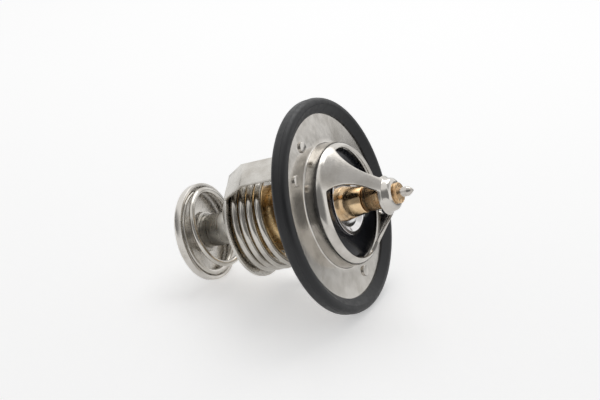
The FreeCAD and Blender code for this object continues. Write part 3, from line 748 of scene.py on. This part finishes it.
@dataclass
class UpperFrame:
    """Flange, collar, two legs and boss, drawn from one sheet, with the four press buttons."""

    gauge: float = SHARED.sheet_gauge
    leg_angle: float = 32.1
    collar_foot: float = 17.1
    collar_top: float = 16.7
    collar_height: float = 4.8
    foot_bend: float = 0.5
    shoulder_bend: float = 2.7
    boss_foot: float = 4.6
    boss_foot_height: float = 16.45
    boss_foot_bend: float = 0.4
    boss_top: float = 4.2
    boss_bend: float = 1.3
    window_radius: float = 15.3
    leg_hollow: float = 6.5
    leg_half_width: float = 2.2
    leg_start: float = 7.3
    pad_radius: float = 5.3
    window_round: float = 0.7
    button_circle: float = 20.9
    button_radius: float = 1.5
    button_rise: float = 0.55
    button_round: float = 0.16
    button_root: float = 0.1
    near_spread: float = 15.0
    far_spread: float = 28.0
    cut_angle: float = 60.0
    leg_columns: int = 24
    window_columns: int = 84
    leg_rows: int = 56
    row_easing: float = 0.8
    seam: float = 2e-3
    path: Profile = field(init=False)

    def __post_init__(self) -> None:
        """Works out the sheet's front profile."""
        front, boss = self.gauge / 2, SHARED.boss_height
        self.path = rounded_path([
            (SHARED.flange_radius, front), (self.collar_foot, front, self.foot_bend),
            (self.collar_top, self.collar_height, self.shoulder_bend),
            (self.boss_foot, self.boss_foot_height, self.boss_foot_bend),
            (self.boss_top, boss, self.boss_bend), (SHARED.plug_neck, boss)])

    def height_at(self, radius: float) -> float:
        """Height of the sheet's front face at a radius on the cone.

        Args:
            radius: Distance from the axis.

        Returns:
            The height.
        """
        for (outer, low), (inner, high) in zip(self.path, self.path[1:]):
            if inner <= radius <= outer and outer - inner > MERGE:
                return low + (high - low) * (outer - radius) / (outer - inner)
        return self.path[-1][1]

    def edge_angle(self, radius: float) -> float:
        """Angle from a leg's middle to its edge.

        Args:
            radius: Distance from the axis, between the pad and the windows' rim.

        Returns:
            The angle in radians.
        """
        small, neck = self.window_round, self.leg_half_width
        bow = Vector((self.leg_start, neck + self.leg_hollow))
        pad = self.pad_radius + small
        inner = Vector((math.sqrt(pad ** 2 - (neck + small) ** 2), neck + small))
        far, near = self.window_radius - small, self.leg_hollow - small
        along = (bow.length_squared + far ** 2 - near ** 2) / (2 * bow.length)
        aside = math.sqrt(far ** 2 - along ** 2)
        unit = bow.normalized()
        outer = unit * along + Vector((unit.y, -unit.x)) * aside
        touch = bow + (outer - bow).normalized() * self.leg_hollow
        if radius < math.hypot(inner.x, neck):
            return self.crossing(inner, small, radius)
        if radius < math.hypot(self.leg_start, neck):
            return math.asin(neck / radius)
        if radius < touch.length:
            return self.crossing(bow, self.leg_hollow, radius)
        return self.crossing(outer, small, radius)

    @staticmethod
    def crossing(centre: Vector, size: float, radius: float) -> float:
        """Angle at which a circle round the axis crosses another circle on its lower side.

        Args:
            centre: Centre of the other circle.
            size: Its radius.
            radius: Radius of the circle round the axis.

        Returns:
            The angle in radians.
        """
        far = centre.length
        share = (far ** 2 + radius ** 2 - size ** 2) / (2 * far * radius)
        return math.atan2(centre.y, centre.x) - math.acos(min(1.0, share))

    def ring_angles(self, half: float) -> list[float]:
        """Angles of the columns right round, closer together across the legs.

        Args:
            half: Half of the angle that a leg covers, in radians.

        Returns:
            The angles of all columns, from the first leg's edge for one full turn.
        """
        angles: list[float] = []
        for middle in (0.0, math.pi):
            gap = math.pi - 2 * half
            for start, width, columns in ((middle - half, 2 * half, self.leg_columns),
                                          (middle + half, gap, self.window_columns)):
                angles += [start + width * column / columns for column in range(columns)]
        return angles + [math.tau - half]

    def patch(self, rows: Profile, angles: Callable[[float], list[float]]) -> BMesh:
        """Bends a flat grid into a stretch of the drawn sheet.

        Args:
            rows: Radius and height of each row of the grid.
            angles: Gives the angles of a row's columns from the row's radius.

        Returns:
            The bent grid.
        """
        mesh = bmesh.new()
        last_column, last_row = len(angles(rows[0][0])) - 1, len(rows) - 1
        bmesh.ops.create_grid(mesh, x_segments=last_column, y_segments=last_row, size=1.0)
        for vertex in mesh.verts:
            column = round((vertex.co.x + 1) / 2 * last_column)
            radius, height = rows[round((vertex.co.y + 1) / 2 * last_row)]
            angle = angles(radius)[column]
            vertex.co = (radius * math.cos(angle), radius * math.sin(angle), height)
        return mesh

    def leg_angles(self, radius: float) -> list[float]:
        """Angles of a leg's columns at a radius.

        Args:
            radius: Distance from the axis.

        Returns:
            The angles in radians.
        """
        half = self.edge_angle(radius)
        return [half * (2 * column / self.leg_columns - 1)
                for column in range(self.leg_columns + 1)]

    def leg(self) -> BMesh:
        """One leg, with rows closer together at the rim and at the pad.

        Returns:
            The bent grid.
        """
        rim, pad = self.window_radius, self.pad_radius
        rows = []
        for row in range(self.leg_rows + 1):
            share = row / self.leg_rows
            eased = share - self.row_easing * math.sin(TURN * share) / TURN
            radius = rim + (pad - rim) * eased
            rows.append((radius, self.height_at(radius)))
        return self.patch(rows, self.leg_angles)

    def sheet(self) -> BMesh:
        """Builds the sheet's front face: the outer ring, the two legs and the boss.

        Returns:
            The sheet, which has no thickness yet.
        """
        rim, pad = self.window_radius, self.pad_radius
        outside = [(r, w) for r, w in self.path if r > rim + MERGE] + [(rim, self.height_at(rim))]
        inside = [(pad, self.height_at(pad))] + [(r, w) for r, w in self.path if r < pad - MERGE]
        rim_half, pad_half = self.edge_angle(rim), self.edge_angle(pad)
        ring = self.patch(self.refined(outside), lambda radius: self.ring_angles(rim_half))
        boss = self.patch(self.refined(inside), lambda radius: self.ring_angles(pad_half))
        mesh = closed(join(ring, boss, self.leg(), swung(self.leg(), 180)), self.seam)
        flat = min(mesh.faces, key=lambda face: face.calc_center_median().z)
        if flat.normal.z < 0:
            bmesh.ops.reverse_faces(mesh, faces=mesh.faces)
        return mesh

    @staticmethod
    def refined(points: Profile, step: float = 0.9) -> Profile:
        """Splits the long stretches of a profile into steps of about one length.

        Args:
            points: Radius and height of each point.
            step: Length of a step.

        Returns:
            The finer profile.
        """
        fine = [points[0]]
        for (r0, w0), (r1, w1) in zip(points, points[1:]):
            count = max(1, round(math.hypot(r1 - r0, w1 - w0) / step))
            fine += [(r0 + (r1 - r0) * part / count, w0 + (w1 - w0) * part / count)
                     for part in range(1, count + 1)]
        return fine

    def button(self, angle: float) -> BMesh:
        """A press button that stands on the flange's front, at an angle in degrees.

        Args:
            angle: The angle, in degrees.

        Returns:
            The closed solid.
        """
        front = self.gauge / 2
        low, top = front - self.button_root, front + self.button_rise
        mesh = turned([(0, low), (self.button_radius, low),
                       (self.button_radius, top, self.button_round), (0, top)],
                      steps=48)
        spot = Matrix.Rotation(math.radians(angle), 3, "Z") @ Vector((self.button_circle, 0, 0))
        bmesh.ops.translate(mesh, verts=mesh.verts, vec=spot)
        return mesh

    def harden(self, piece: Object) -> None:
        """Gives the sheet its thickness and softens its cut edges.

        Args:
            piece: The sheet.
        """
        wall = piece.modifiers.new("gauge", "SOLIDIFY")
        wall.thickness = self.gauge
        wall.offset = -1
        wall.use_even_offset = True
        soft = piece.modifiers.new("edges", "BEVEL")
        soft.width = CRISP
        soft.segments = 2
        soft.limit_method = "ANGLE"
        soft.angle_limit = math.radians(self.cut_angle)
        soft.use_clamp_overlap = False

    def build(self, shop: Workshop) -> None:
        """Builds the upper frame and its buttons.

        Args:
            shop: Where the meshes become pieces.
        """
        blank = given_object("sheet", self.sheet())
        self.harden(blank)
        shift = SHARED.arm_angle - self.leg_angle
        buttons = [self.button(shift + half + sign * spread)
                   for half, spread in ((0, self.far_spread), (180, self.near_spread))
                   for sign in (-1, 1)]
        shop.place(join(taken_mesh(blank), *buttons), "upper_frame", self.leg_angle)


@dataclass
class LowerFrame:
    """Seat plate with a guide collar, two bent arms and their feet, from one sheet."""

    gauge: float = SHARED.sheet_gauge
    front: float = SHARED.plate_front
    plate_radius: float = 15.3
    hole_radius: float = 9.5
    collar_rise: float = 1.6
    collar_wall: float = 1.1
    arm_side: float = -5.3
    arm_width: float = 7.8
    arm_reach: float = 19.9
    knee_height: float = -17.8
    root_radius: float = 13.2
    bend: float = 0.4
    facet_width: float = 2.95
    facet_depth: float = 0.8
    foot_inner: float = 17.9
    foot_outer: float = 24.6
    foot_half_angle: float = 33.0
    edge_round: float = 0.14
    cut_angle: float = 50.0

    def plate(self) -> BMesh:
        """The seat plate with its guide collar.

        Returns:
            The closed solid.
        """
        hole, back, edge = self.hole_radius, self.front - self.gauge, self.edge_round
        wall, top = hole + self.collar_wall, self.front + self.collar_rise
        return turned([
            (hole, back, self.bend), (self.plate_radius, back, edge),
            (self.plate_radius, self.front, edge), (wall, self.front, self.bend),
            (wall, top, edge), (hole, top, edge)])

    def arm(self) -> BMesh:
        """One arm: a strap bent at the plate and at the knee, with a facet along one side.

        Returns:
            The closed solid.
        """
        back = self.front - self.gauge
        mesh = section(bent([
            (self.root_radius, back), (self.plate_radius, back, self.bend),
            (self.arm_reach, self.knee_height, self.bend),
            (self.arm_reach, -self.gauge / 2)], self.gauge), segments=6)
        side = bmesh.ops.extrude_face_region(mesh, geom=mesh.faces[:])
        moved = [item for item in side["geom"] if isinstance(item, BMVert)]
        bmesh.ops.translate(mesh, verts=moved, vec=(0, self.arm_width, 0))
        bmesh.ops.translate(mesh, verts=mesh.verts, vec=(0, self.arm_side, 0))
        bmesh.ops.recalc_face_normals(mesh, faces=mesh.faces)
        slant = math.atan2(self.facet_depth, self.facet_width)
        crease = Vector((self.arm_reach, self.arm_side + self.facet_width, 0))
        for edge in cut_off(mesh, crease, Vector((math.cos(slant), -math.sin(slant), 0))):
            edge.smooth = False
        self.soften(mesh)
        return mesh

    def soften(self, mesh: BMesh) -> None:
        """Rounds the cut edges a little.

        Args:
            mesh: The arm.
        """
        sharp = [edge for edge in mesh.edges if len(edge.link_faces) == 2
                 and edge.calc_face_angle(0) > math.radians(self.cut_angle)]
        bmesh.ops.bevel(mesh, geom=sharp, offset=self.edge_round, offset_type="OFFSET",
                        affect="EDGES", segments=2, profile=0.5, material=-1,
                        clamp_overlap=True)

    def foot(self) -> BMesh:
        """One foot, which lies behind the flange.

        Returns:
            The closed solid.
        """
        inner, outer, edge = self.foot_inner, self.foot_outer, self.edge_round
        top = -self.gauge / 2
        low = top - self.gauge
        return part_turned([(inner, low, edge), (outer, low, edge),
                            (outer, top, edge), (inner, top, edge)],
                           -self.foot_half_angle, 2 * self.foot_half_angle)

    def build(self, shop: Workshop) -> None:
        """Builds the plate, both arms and both feet.

        Args:
            shop: Where the meshes become pieces.
        """
        far = [swung(self.arm(), 180), swung(self.foot(), 180)]
        shop.place(join(self.plate(), self.arm(), self.foot(), *far), "lower_frame",
                   SHARED.arm_angle)


@dataclass
class SealingRing:
    """The rubber that grips the flange's rim, with lips that taper inwards from a crest."""

    outer: float = 29.45
    half_width: float = 2.3
    crest: float = 27.45
    lip: float = 25.3
    lip_height: float = 0.8
    groove: float = SHARED.flange_radius
    half_gauge: float = SHARED.sheet_gauge / 2
    seam_height: float = 0.66
    seam_rise: float = 0.08

    def build(self, shop: Workshop) -> None:
        """Builds the ring with the fine seam of its mould and the flat that it rests on.

        Args:
            shop: Where the meshes become pieces.
        """
        outer, wide, grip = self.outer, self.half_width, self.half_gauge
        seam, rise = self.seam_height, self.seam_rise
        mesh = turned([
            (self.lip, grip), (self.lip, self.lip_height),
            (self.crest, wide, EASED), (outer, wide, SHARED.edge_round),
            (outer, seam + rise), (outer + rise, seam), (outer, seam - rise),
            (outer, -wide, SHARED.edge_round), (self.crest, -wide, EASED),
            (self.lip, -self.lip_height), (self.lip, -grip),
            (self.groove, -grip), (self.groove, grip)], steps=256, segments=8)
        cut_off(mesh, shop.down * shop.drop, shop.down)
        shop.place(mesh, "sealing_ring")


@dataclass
class PlugAndPiston:
    """The staked brass plug in the boss and the steel piston that it holds."""

    end: float = 9.7
    body: float = 3.3
    head: float = 2.8
    head_height: float = 19.8
    chamfer: float = 0.2
    face_rings: int = 6
    dent_mm: float = 0.7
    dent_depth: float = 0.2
    dent_margin: float = 0.15
    dent_reach: float = 2.5
    piston_radius: float = 1.75
    piston_back: float = -2.9
    piston_shoulder: float = 13.0
    pin_radius: float = 1.3
    pin_shoulder: float = 22.1
    pin_round: float = 0.4
    pin_waist: float = 0.75
    waist_height: float = 23.0
    pin_height: float = 23.5
    tip: float = 0.3

    def stake(self, mesh: BMesh) -> None:
        """Dents the plug's face as the punch has left it.

        Args:
            mesh: The plug.
        """
        inner = self.pin_radius + self.dent_margin
        for vertex in mesh.verts:
            radius = math.hypot(vertex.co.x, vertex.co.y)
            if vertex.co.z > self.head_height - MERGE and inner < radius < self.dent_reach:
                vertex.co.z -= self.dent_depth * max(0.0, noise.noise(vertex.co / self.dent_mm))

    def build(self, shop: Workshop) -> None:
        """Builds the plug and the piston.

        Args:
            shop: Where the meshes become pieces.
        """
        bore, pin, shoulder = self.piston_radius, self.pin_radius, self.piston_shoulder
        neck, boss = SHARED.plug_neck, SHARED.boss_height
        under, top, edge = boss - SHARED.sheet_gauge, self.head_height, self.head - self.chamfer
        face = [(edge - ring * (edge - pin) / self.face_rings, top)
                for ring in range(self.face_rings + 1)]
        plug = turned([
            (bore, self.end, CRISP), (self.body, self.end, EASED),
            (self.body, under, CRISP), (neck, under), (neck, boss),
            (self.head, boss, CRISP), (self.head, top - self.chamfer), *face,
            (pin, shoulder), (bore, shoulder)], steps=96)
        self.stake(plug)
        shop.place(plug, "adjusting_plug")
        shop.place(turned([
            (0, self.piston_back), (bore, self.piston_back, EASED),
            (bore, shoulder, CRISP), (pin, shoulder),
            (pin, self.pin_shoulder, self.pin_round),
            (self.pin_waist, self.waist_height, SOFT),
            (self.tip, self.pin_height, CRISP), (0, self.pin_height)], steps=64),
            "piston")


@dataclass
class WaxElement:
    """The brass guide and the case that hold the wax."""

    nose_height: float = 9.4
    nose: float = 3.5
    bore: float = 1.8
    cone_foot: float = 3.4
    step_height: float = 1.3
    shank: float = 6.4
    base: float = 8.3
    base_top: float = -6.0
    base_bottom: float = -8.5
    throat: float = 4.2
    throat_depth: float = 2.0
    case_radius: float = 9.2
    case_wall: float = 0.8
    heel_round: float = 0.9
    curl: float = 6.9
    curl_round: float = 0.8

    def build(self, shop: Workshop) -> None:
        """Builds the guide and the case.

        Args:
            shop: Where the meshes become pieces.
        """
        foot, step = SHARED.guide_foot, self.step_height
        top, bottom = self.base_top, self.base_bottom
        shop.place(turned([
            (self.bore, self.nose_height, FINE), (self.nose, self.nose_height, EASED),
            (foot, self.cone_foot, SOFT), (foot, step),
            (self.shank, step, SOFT), (self.shank, top), (self.base, top),
            (self.base, bottom), (self.throat, bottom),
            (self.bore, bottom + self.throat_depth)], steps=128), "element_guide")
        outer, back, rivet = self.case_radius, SHARED.case_back, SHARED.rivet_radius
        inner, floor, over = outer - self.case_wall, back + self.case_wall, top + self.case_wall
        shop.place(turned([
            (rivet, back), (outer, back, self.heel_round),
            (outer, over, self.curl_round), (self.curl, over, SOFT),
            (self.curl, top), (inner, top), (inner, floor),
            (rivet, floor)], steps=160), "wax_case")


@dataclass
class MainValve:
    """The valve disc, its rubber face and the bright dish that holds it."""

    disc_radius: float = 14.9
    face_height: float = 3.95
    seal_radius: float = 15.4
    seal_inner: float = 8.2
    seal_round: float = 0.4
    seal_wrap: float = 14.5
    lip_drop: float = 0.7
    dish_gauge: float = 0.4
    dish_bend: float = 0.2
    dish_floor: float = 6.4
    dish_rim: float = 7.7
    dish_lip: float = 8.7

    def build(self, shop: Workshop) -> None:
        """Builds the disc, the seal and the retainer.

        Args:
            shop: Where the meshes become pieces.
        """
        foot, face = SHARED.guide_foot, self.face_height
        disc, seal = self.disc_radius, self.seal_radius
        top, back = SHARED.disc_height, SHARED.disc_height - SHARED.disc_gauge
        lip = back - self.lip_drop
        shop.place(turned([(foot, back), (disc, back), (disc, top),
                           (foot, top)]), "valve_disc")
        shop.place(turned([
            (self.seal_inner, top), (self.seal_inner, face, EASED),
            (seal, face, self.seal_round), (seal, lip, EASED),
            (self.seal_wrap, lip, SOFT), (self.seal_wrap, back), (disc, back),
            (disc, top)]), "valve_seal")
        high, low = face + self.dish_gauge, top + self.dish_gauge
        shop.place(turned(bent([
            (self.dish_lip, high), (self.dish_rim, high, self.dish_bend),
            (self.dish_floor, low, self.dish_bend), (foot, low)],
            self.dish_gauge)), "seal_retainer")


@dataclass
class BypassValve:
    """The stem behind the case, the sliding cup and the clip that stops it."""

    stem_radius: float = 4.6
    stem_end: float = -46.1
    stem_chamfer: float = 0.6
    groove_depth: float = 0.75
    rivet_head: float = 3.3
    rivet_floor: float = -26.6
    rivet_top: float = -25.7
    cup_radius: float = 13.85
    cup_rim: float = -41.1
    hub_top: float = -41.3
    hub_fit: float = 0.08
    clip_radius: float = 6.6
    clip_front: float = -44.4
    clip_back: float = -45.3
    clip_angle: float = 290.0

    def build(self, shop: Workshop) -> None:
        """Builds the stem, the cup and the clip.

        Args:
            shop: Where the meshes become pieces.
        """
        stem, rivet, head = self.stem_radius, SHARED.rivet_radius, self.rivet_head
        groove, bore = stem - self.groove_depth, stem + self.hub_fit
        end, case, cup = self.stem_end, SHARED.case_back, SHARED.cup_back
        back, front = self.clip_back, self.clip_front
        shop.place(turned([
            (0, end), (stem - self.stem_chamfer, end, CRISP),
            (stem, end + self.stem_chamfer, CRISP), (stem, back), (groove, back),
            (groove, front), (stem, front), (stem, case), (rivet, case),
            (rivet, self.rivet_floor), (head, self.rivet_floor),
            (head, self.rivet_top, EASED), (0, self.rivet_top)], steps=128),
            "bypass_stem")
        inside = SHARED.edge_round - SHARED.cup_gauge
        shop.place(turned(bent([
            (bore, self.hub_top), (bore, cup, inside / 2),
            (self.cup_radius, cup, inside), (self.cup_radius, self.cup_rim)],
            SHARED.cup_gauge, FINE)), "bypass_disc")
        shop.place(part_turned([
            (groove, back, CRISP), (self.clip_radius, back, CRISP),
            (self.clip_radius, front, CRISP), (groove, front, CRISP)],
            0, self.clip_angle), "stem_clip")


@dataclass(frozen=True)
class Stage:
    """One stretch of a coil: its turns, how far it rises and its radius at both ends."""

    turns: float
    rise: float
    low_radius: float
    high_radius: float


@dataclass
class Coil:
    """A right-handed spring of round wire between two bodies."""

    node: str
    low_body: str
    high_body: str
    wire: float
    start_angle: float
    start_height: float
    stages: list[Stage]
    steps_per_turn: int = 72
    wire_rounds: int = 6

    def centre_line(self) -> list[Vector]:
        """Points along the middle of the wire.

        Returns:
            The smoothed points.
        """
        points = []
        angle, height = math.radians(self.start_angle), self.start_height
        for number, stage in enumerate(self.stages):
            steps = round(stage.turns * self.steps_per_turn)
            for step in range(0 if number == 0 else 1, steps + 1):
                share = step / steps
                radius = stage.low_radius + (stage.high_radius - stage.low_radius) * share
                turn = angle + TURN * stage.turns * share
                points.append(Vector((radius * math.cos(turn), radius * math.sin(turn),
                                      height + stage.rise * share)))
            angle += TURN * stage.turns
            height += stage.rise
        return self.eased(points)

    @staticmethod
    def eased(points: list[Vector], rounds: int = 60) -> list[Vector]:
        """Smooths the kinks between stages without moving the ends.

        Args:
            points: Points along the middle of the wire.
            rounds: How often the line is smoothed.

        Returns:
            The smoothed points.
        """
        for _ in range(rounds):
            points = [points[0]] + [
                Vector((point.x, point.y, (before.z + 2 * point.z + after.z) / 4))
                for before, point, after in zip(points, points[1:], points[2:])] + [points[-1]]
        return points

    def build(self, shop: Workshop) -> None:
        """Sweeps the wire along its centre line.

        Args:
            shop: Where the meshes become pieces.
        """
        curve = bpy.data.curves.new(self.node, "CURVE")
        curve.dimensions = "3D"
        curve.bevel_depth = self.wire / 2
        curve.bevel_resolution = self.wire_rounds
        curve.use_fill_caps = True
        line = self.centre_line()
        spline = curve.splines.new("POLY")
        spline.points.add(len(line) - 1)
        for point, place in zip(spline.points, line):
            point.co = (*place, 1.0)
        mesh = closed(taken_mesh(added(self.node, curve)))
        stretch = Stretch(self.low_body, self.high_body, line[0].z, line[-1].z)
        shop.place(mesh, self.node, stretch=stretch)


@dataclass
class Springs:
    """The main spring on the case and the bypass spring on the stem."""

    gap: float = 0.15
    wire: float = 2.1
    radius: float = 13.3
    start: float = -173.9
    close_turns: float = 3.1
    close_pitch: float = 2.45
    open_turns: float = 2.45
    head_turns: float = 0.75
    head_pitch: float = 2.3
    bypass_wire: float = 1.6
    bypass_wide: float = 11.7
    bypass_narrow: float = 6.4
    bypass_start: float = -177.9
    bypass_pitch: float = 1.8
    flat_turns: float = 1.0
    cone_turns: float = 1.3
    end_turns: float = 0.6

    def build(self, shop: Workshop) -> None:
        """Builds both springs.

        Args:
            shop: Where the meshes become pieces.
        """
        low = SHARED.plate_front + self.wire / 2
        high = SHARED.disc_height - SHARED.disc_gauge - self.gap - self.wire / 2
        close, head = self.close_turns * self.close_pitch, self.head_turns * self.head_pitch
        rises = ((self.close_turns, close), (self.open_turns, high - low - close - head),
                 (self.head_turns, head))
        Coil("main_spring", "frame", "valve", self.wire, self.start, low, [
            Stage(turns, rise, self.radius, self.radius) for turns, rise in rises]).build(shop)
        low = SHARED.cup_back + SHARED.cup_gauge + self.gap + self.bypass_wire / 2
        high = SHARED.case_back - self.bypass_wire / 2
        flat, end = (turns * self.bypass_pitch for turns in (self.flat_turns, self.end_turns))
        wide, narrow = self.bypass_wide, self.bypass_narrow
        Coil("bypass_spring", "bypass", "valve", self.bypass_wire, self.bypass_start, low, [
            Stage(self.flat_turns, flat, wide, wide),
            Stage(self.cone_turns, high - low - flat - end, wide, narrow),
            Stage(self.end_turns, end, narrow, narrow)]).build(shop)


@dataclass(frozen=True)
class Card:
    """A soft-edged grey card out of view, which only the reflections show."""

    name: str
    place: tuple[float, float, float]
    size: tuple[float, float]
    colour: str
    flat: bool = False


@dataclass
class Studio:
    """The white table and room, the lamp, the cards and the camera, in metres."""

    axis_seen: tuple[float, float, float] = (0.8532, -0.1762, -0.4910)
    centre_seen_mm: tuple[float, float, float] = (9.41, 1.52, 369.77)
    focal_px: float = 1374.9
    frame_px: float = 600.0
    sensor_mm: float = 36.0
    table_size: float = 12.0
    table_colour: str = "f4f4f4"
    table_glow: float = 0.42
    room_light: float = 0.38
    lamp_place: tuple[float, float, float] = (-0.1, 0.35, 0.6)
    lamp_size: float = 0.5
    lamp_watts: float = 1.3
    card_edge: float = 0.5
    card_core: float = 0.25
    cards: tuple[Card, ...] = (
        Card("dark room behind the camera", (0.20, -0.80, 0.42), (2.2, 1.7), "858585"),
        Card("dark left side of the room", (-0.80, -0.30, 0.10), (1.2, 0.9), "808080"),
        Card("grey ceiling", (0.30, 0.16, 0.80), (1.1, 1.1), "c0c0c0"),
        Card("dark end of the table", (0.56, 0.84, 0.0), (2.2, 2.2), "404040", True))

    @staticmethod
    def seen_straight(tree: NodeTree) -> NodeSocket:
        """Is 1 for rays from the camera, from a mirror and through a clear piece, or else 0.

        Args:
            tree: The material's node tree.

        Returns:
            The number's socket.
        """
        path = add_node(tree, "LightPath").outputs
        seen = path["Is Camera Ray"]
        for kind in ("Is Glossy Ray", "Is Transmission Ray"):
            seen = add_node(tree, "Math", {"operation": "MAXIMUM"},
                            {0: seen, 1: path[kind]}).outputs[0]
        return seen

    @staticmethod
    def sheet(name: str, size: float) -> tuple[Object, NodeTree]:
        """Puts up a square sheet with an empty material.

        Args:
            name: The object's name.
            size: Its width, in metres.

        Returns:
            The sheet and the node tree of its material.
        """
        mesh = bmesh.new()
        bmesh.ops.create_grid(mesh, x_segments=1, y_segments=1, size=size / 2)
        sheet = given_object(name, mesh)
        material = bpy.data.materials.new(name)
        sheet.data.materials.append(material)
        return sheet, bare_tree(material)

    def table(self, low: float) -> None:
        """A white table top under the thermostat, a little brighter than the lamp makes it.

        Args:
            low: Height of the floor, in metres.
        """
        top, tree = self.sheet("table", self.table_size)
        top.location.z = low
        strength = add_node(tree, "Math", {"operation": "MULTIPLY"},
                            {0: self.seen_straight(tree), 1: self.table_glow})
        diffuse = add_node(tree, "BsdfDiffuse", inputs={"Color": linear(self.table_colour)})
        glow = add_node(tree, "Emission", inputs={"Strength": strength.outputs[0]})
        total = add_node(tree, "AddShader", inputs={0: diffuse.outputs[0], 1: glow.outputs[0]})
        add_node(tree, "OutputMaterial", inputs={"Surface": total.outputs[0]})
        top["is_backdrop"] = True

    def room(self) -> None:
        """White surroundings that light the object softly."""
        world = bpy.data.worlds.new("studio")
        bpy.context.scene.world = world
        tree = bare_tree(world)
        strength = add_node(tree, "MapRange", inputs={
            "Value": self.seen_straight(tree), "To Min": self.room_light})
        light = add_node(tree, "Background", inputs={
            "Color": linear("ffffff"), "Strength": strength.outputs["Result"]})
        add_node(tree, "OutputWorld", inputs={"Surface": light.outputs[0]})

    def lamp(self) -> None:
        """A square soft lamp above and behind, whose shadow falls towards the camera."""
        data = bpy.data.lights.new("soft lamp", "AREA")
        data.size = self.lamp_size
        data.energy = self.lamp_watts
        lamp = added("soft lamp", data)
        lamp.location = self.lamp_place
        lamp.rotation_euler = (-lamp.location).to_track_quat("-Z", "Y").to_euler()

    def hang(self, card: Card, low: float) -> None:
        """Puts up a card that fades out towards its edges.

        Args:
            card: The card.
            low: Height of the floor, in metres.
        """
        board, tree = self.sheet(card.name, 1.0)
        board.location = card.place
        board.scale = (*card.size, 1)
        if card.flat:
            board.location.z = low + MM
        else:
            board.rotation_euler = (-board.location).to_track_quat("Z", "Y").to_euler()
        place = add_node(tree, "TexCoord").outputs["Object"]
        far = add_node(tree, "VectorMath", {"operation": "LENGTH"}, {0: place})
        cover = add_node(tree, "MapRange", {"interpolation_type": "SMOOTHSTEP"}, {
            "Value": far.outputs["Value"], "From Min": self.card_edge, "From Max": self.card_core})
        clear = add_node(tree, "BsdfTransparent")
        grey = add_node(tree, "Emission", inputs={"Color": linear(card.colour)})
        shader = add_node(tree, "MixShader", inputs={
            0: cover.outputs["Result"], 1: clear.outputs[0], 2: grey.outputs[0]})
        add_node(tree, "OutputMaterial", inputs={"Surface": shader.outputs[0]})
        board.visible_camera = board.visible_shadow = False
        board.visible_diffuse = board.visible_transmission = False
        board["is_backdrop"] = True

    def camera(self, axis: Vector) -> None:
        """The camera at the photograph's place.

        It stands level, so its turn, its tilt and its place follow from the direction of the
        thermostat's axis and from the place of its origin, both as the camera sees them.

        Args:
            axis: Direction of the thermostat's axis.
        """
        seen, centre = Vector(self.axis_seen), Vector(self.centre_seen_mm)
        turn = math.acos(seen.x / axis.x)
        tilt = math.atan2(axis.z, axis.x * math.sin(turn)) + math.atan2(seen.y, -seen.z)
        right = Vector((math.cos(turn), math.sin(turn), 0))
        ahead = Vector((-math.sin(turn) * math.cos(tilt), math.cos(turn) * math.cos(tilt),
                        -math.sin(tilt)))
        down = ahead.cross(right)
        data = bpy.data.cameras.new("camera")
        data.sensor_width = self.sensor_mm
        data.lens = self.focal_px / self.frame_px * self.sensor_mm
        camera = added("camera", data)
        camera.rotation_euler = Matrix((right, -down, -ahead)).transposed().to_euler()
        camera.location = (right * centre.x + down * centre.y + ahead * centre.z) * -MM
        bpy.context.scene.camera = camera

    def build(self, low: float, axis: Vector) -> None:
        """Sets up the whole studio.

        Args:
            low: Height of the floor, in metres.
            axis: Direction of the thermostat's axis.
        """
        self.table(low)
        self.room()
        self.lamp()
        for card in self.cards:
            self.hang(card, low)
        self.camera(axis)
        bpy.context.scene.view_settings.view_transform = "Standard"


def main() -> None:
    """Builds and dresses every piece, then sets up the studio."""
    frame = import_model()
    cad_box = [list(corner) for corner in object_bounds()]
    low = cad_box[0][2]
    shop = Workshop(frame, low)
    for name, node in frame["nodes"].items():
        shop.dress(node, shop.slots[name])
    for assembly in (UpperFrame(), LowerFrame(), SealingRing(), PlugAndPiston(), WaxElement(),
                     MainValve(), BypassValve(), Springs()):
        LOG.info("building %s", type(assembly).__name__)
        assembly.build(shop)
    Studio().build(low, shop.axis)


if __name__ == "__main__":
    logging.basicConfig(level=logging.INFO)
    main()
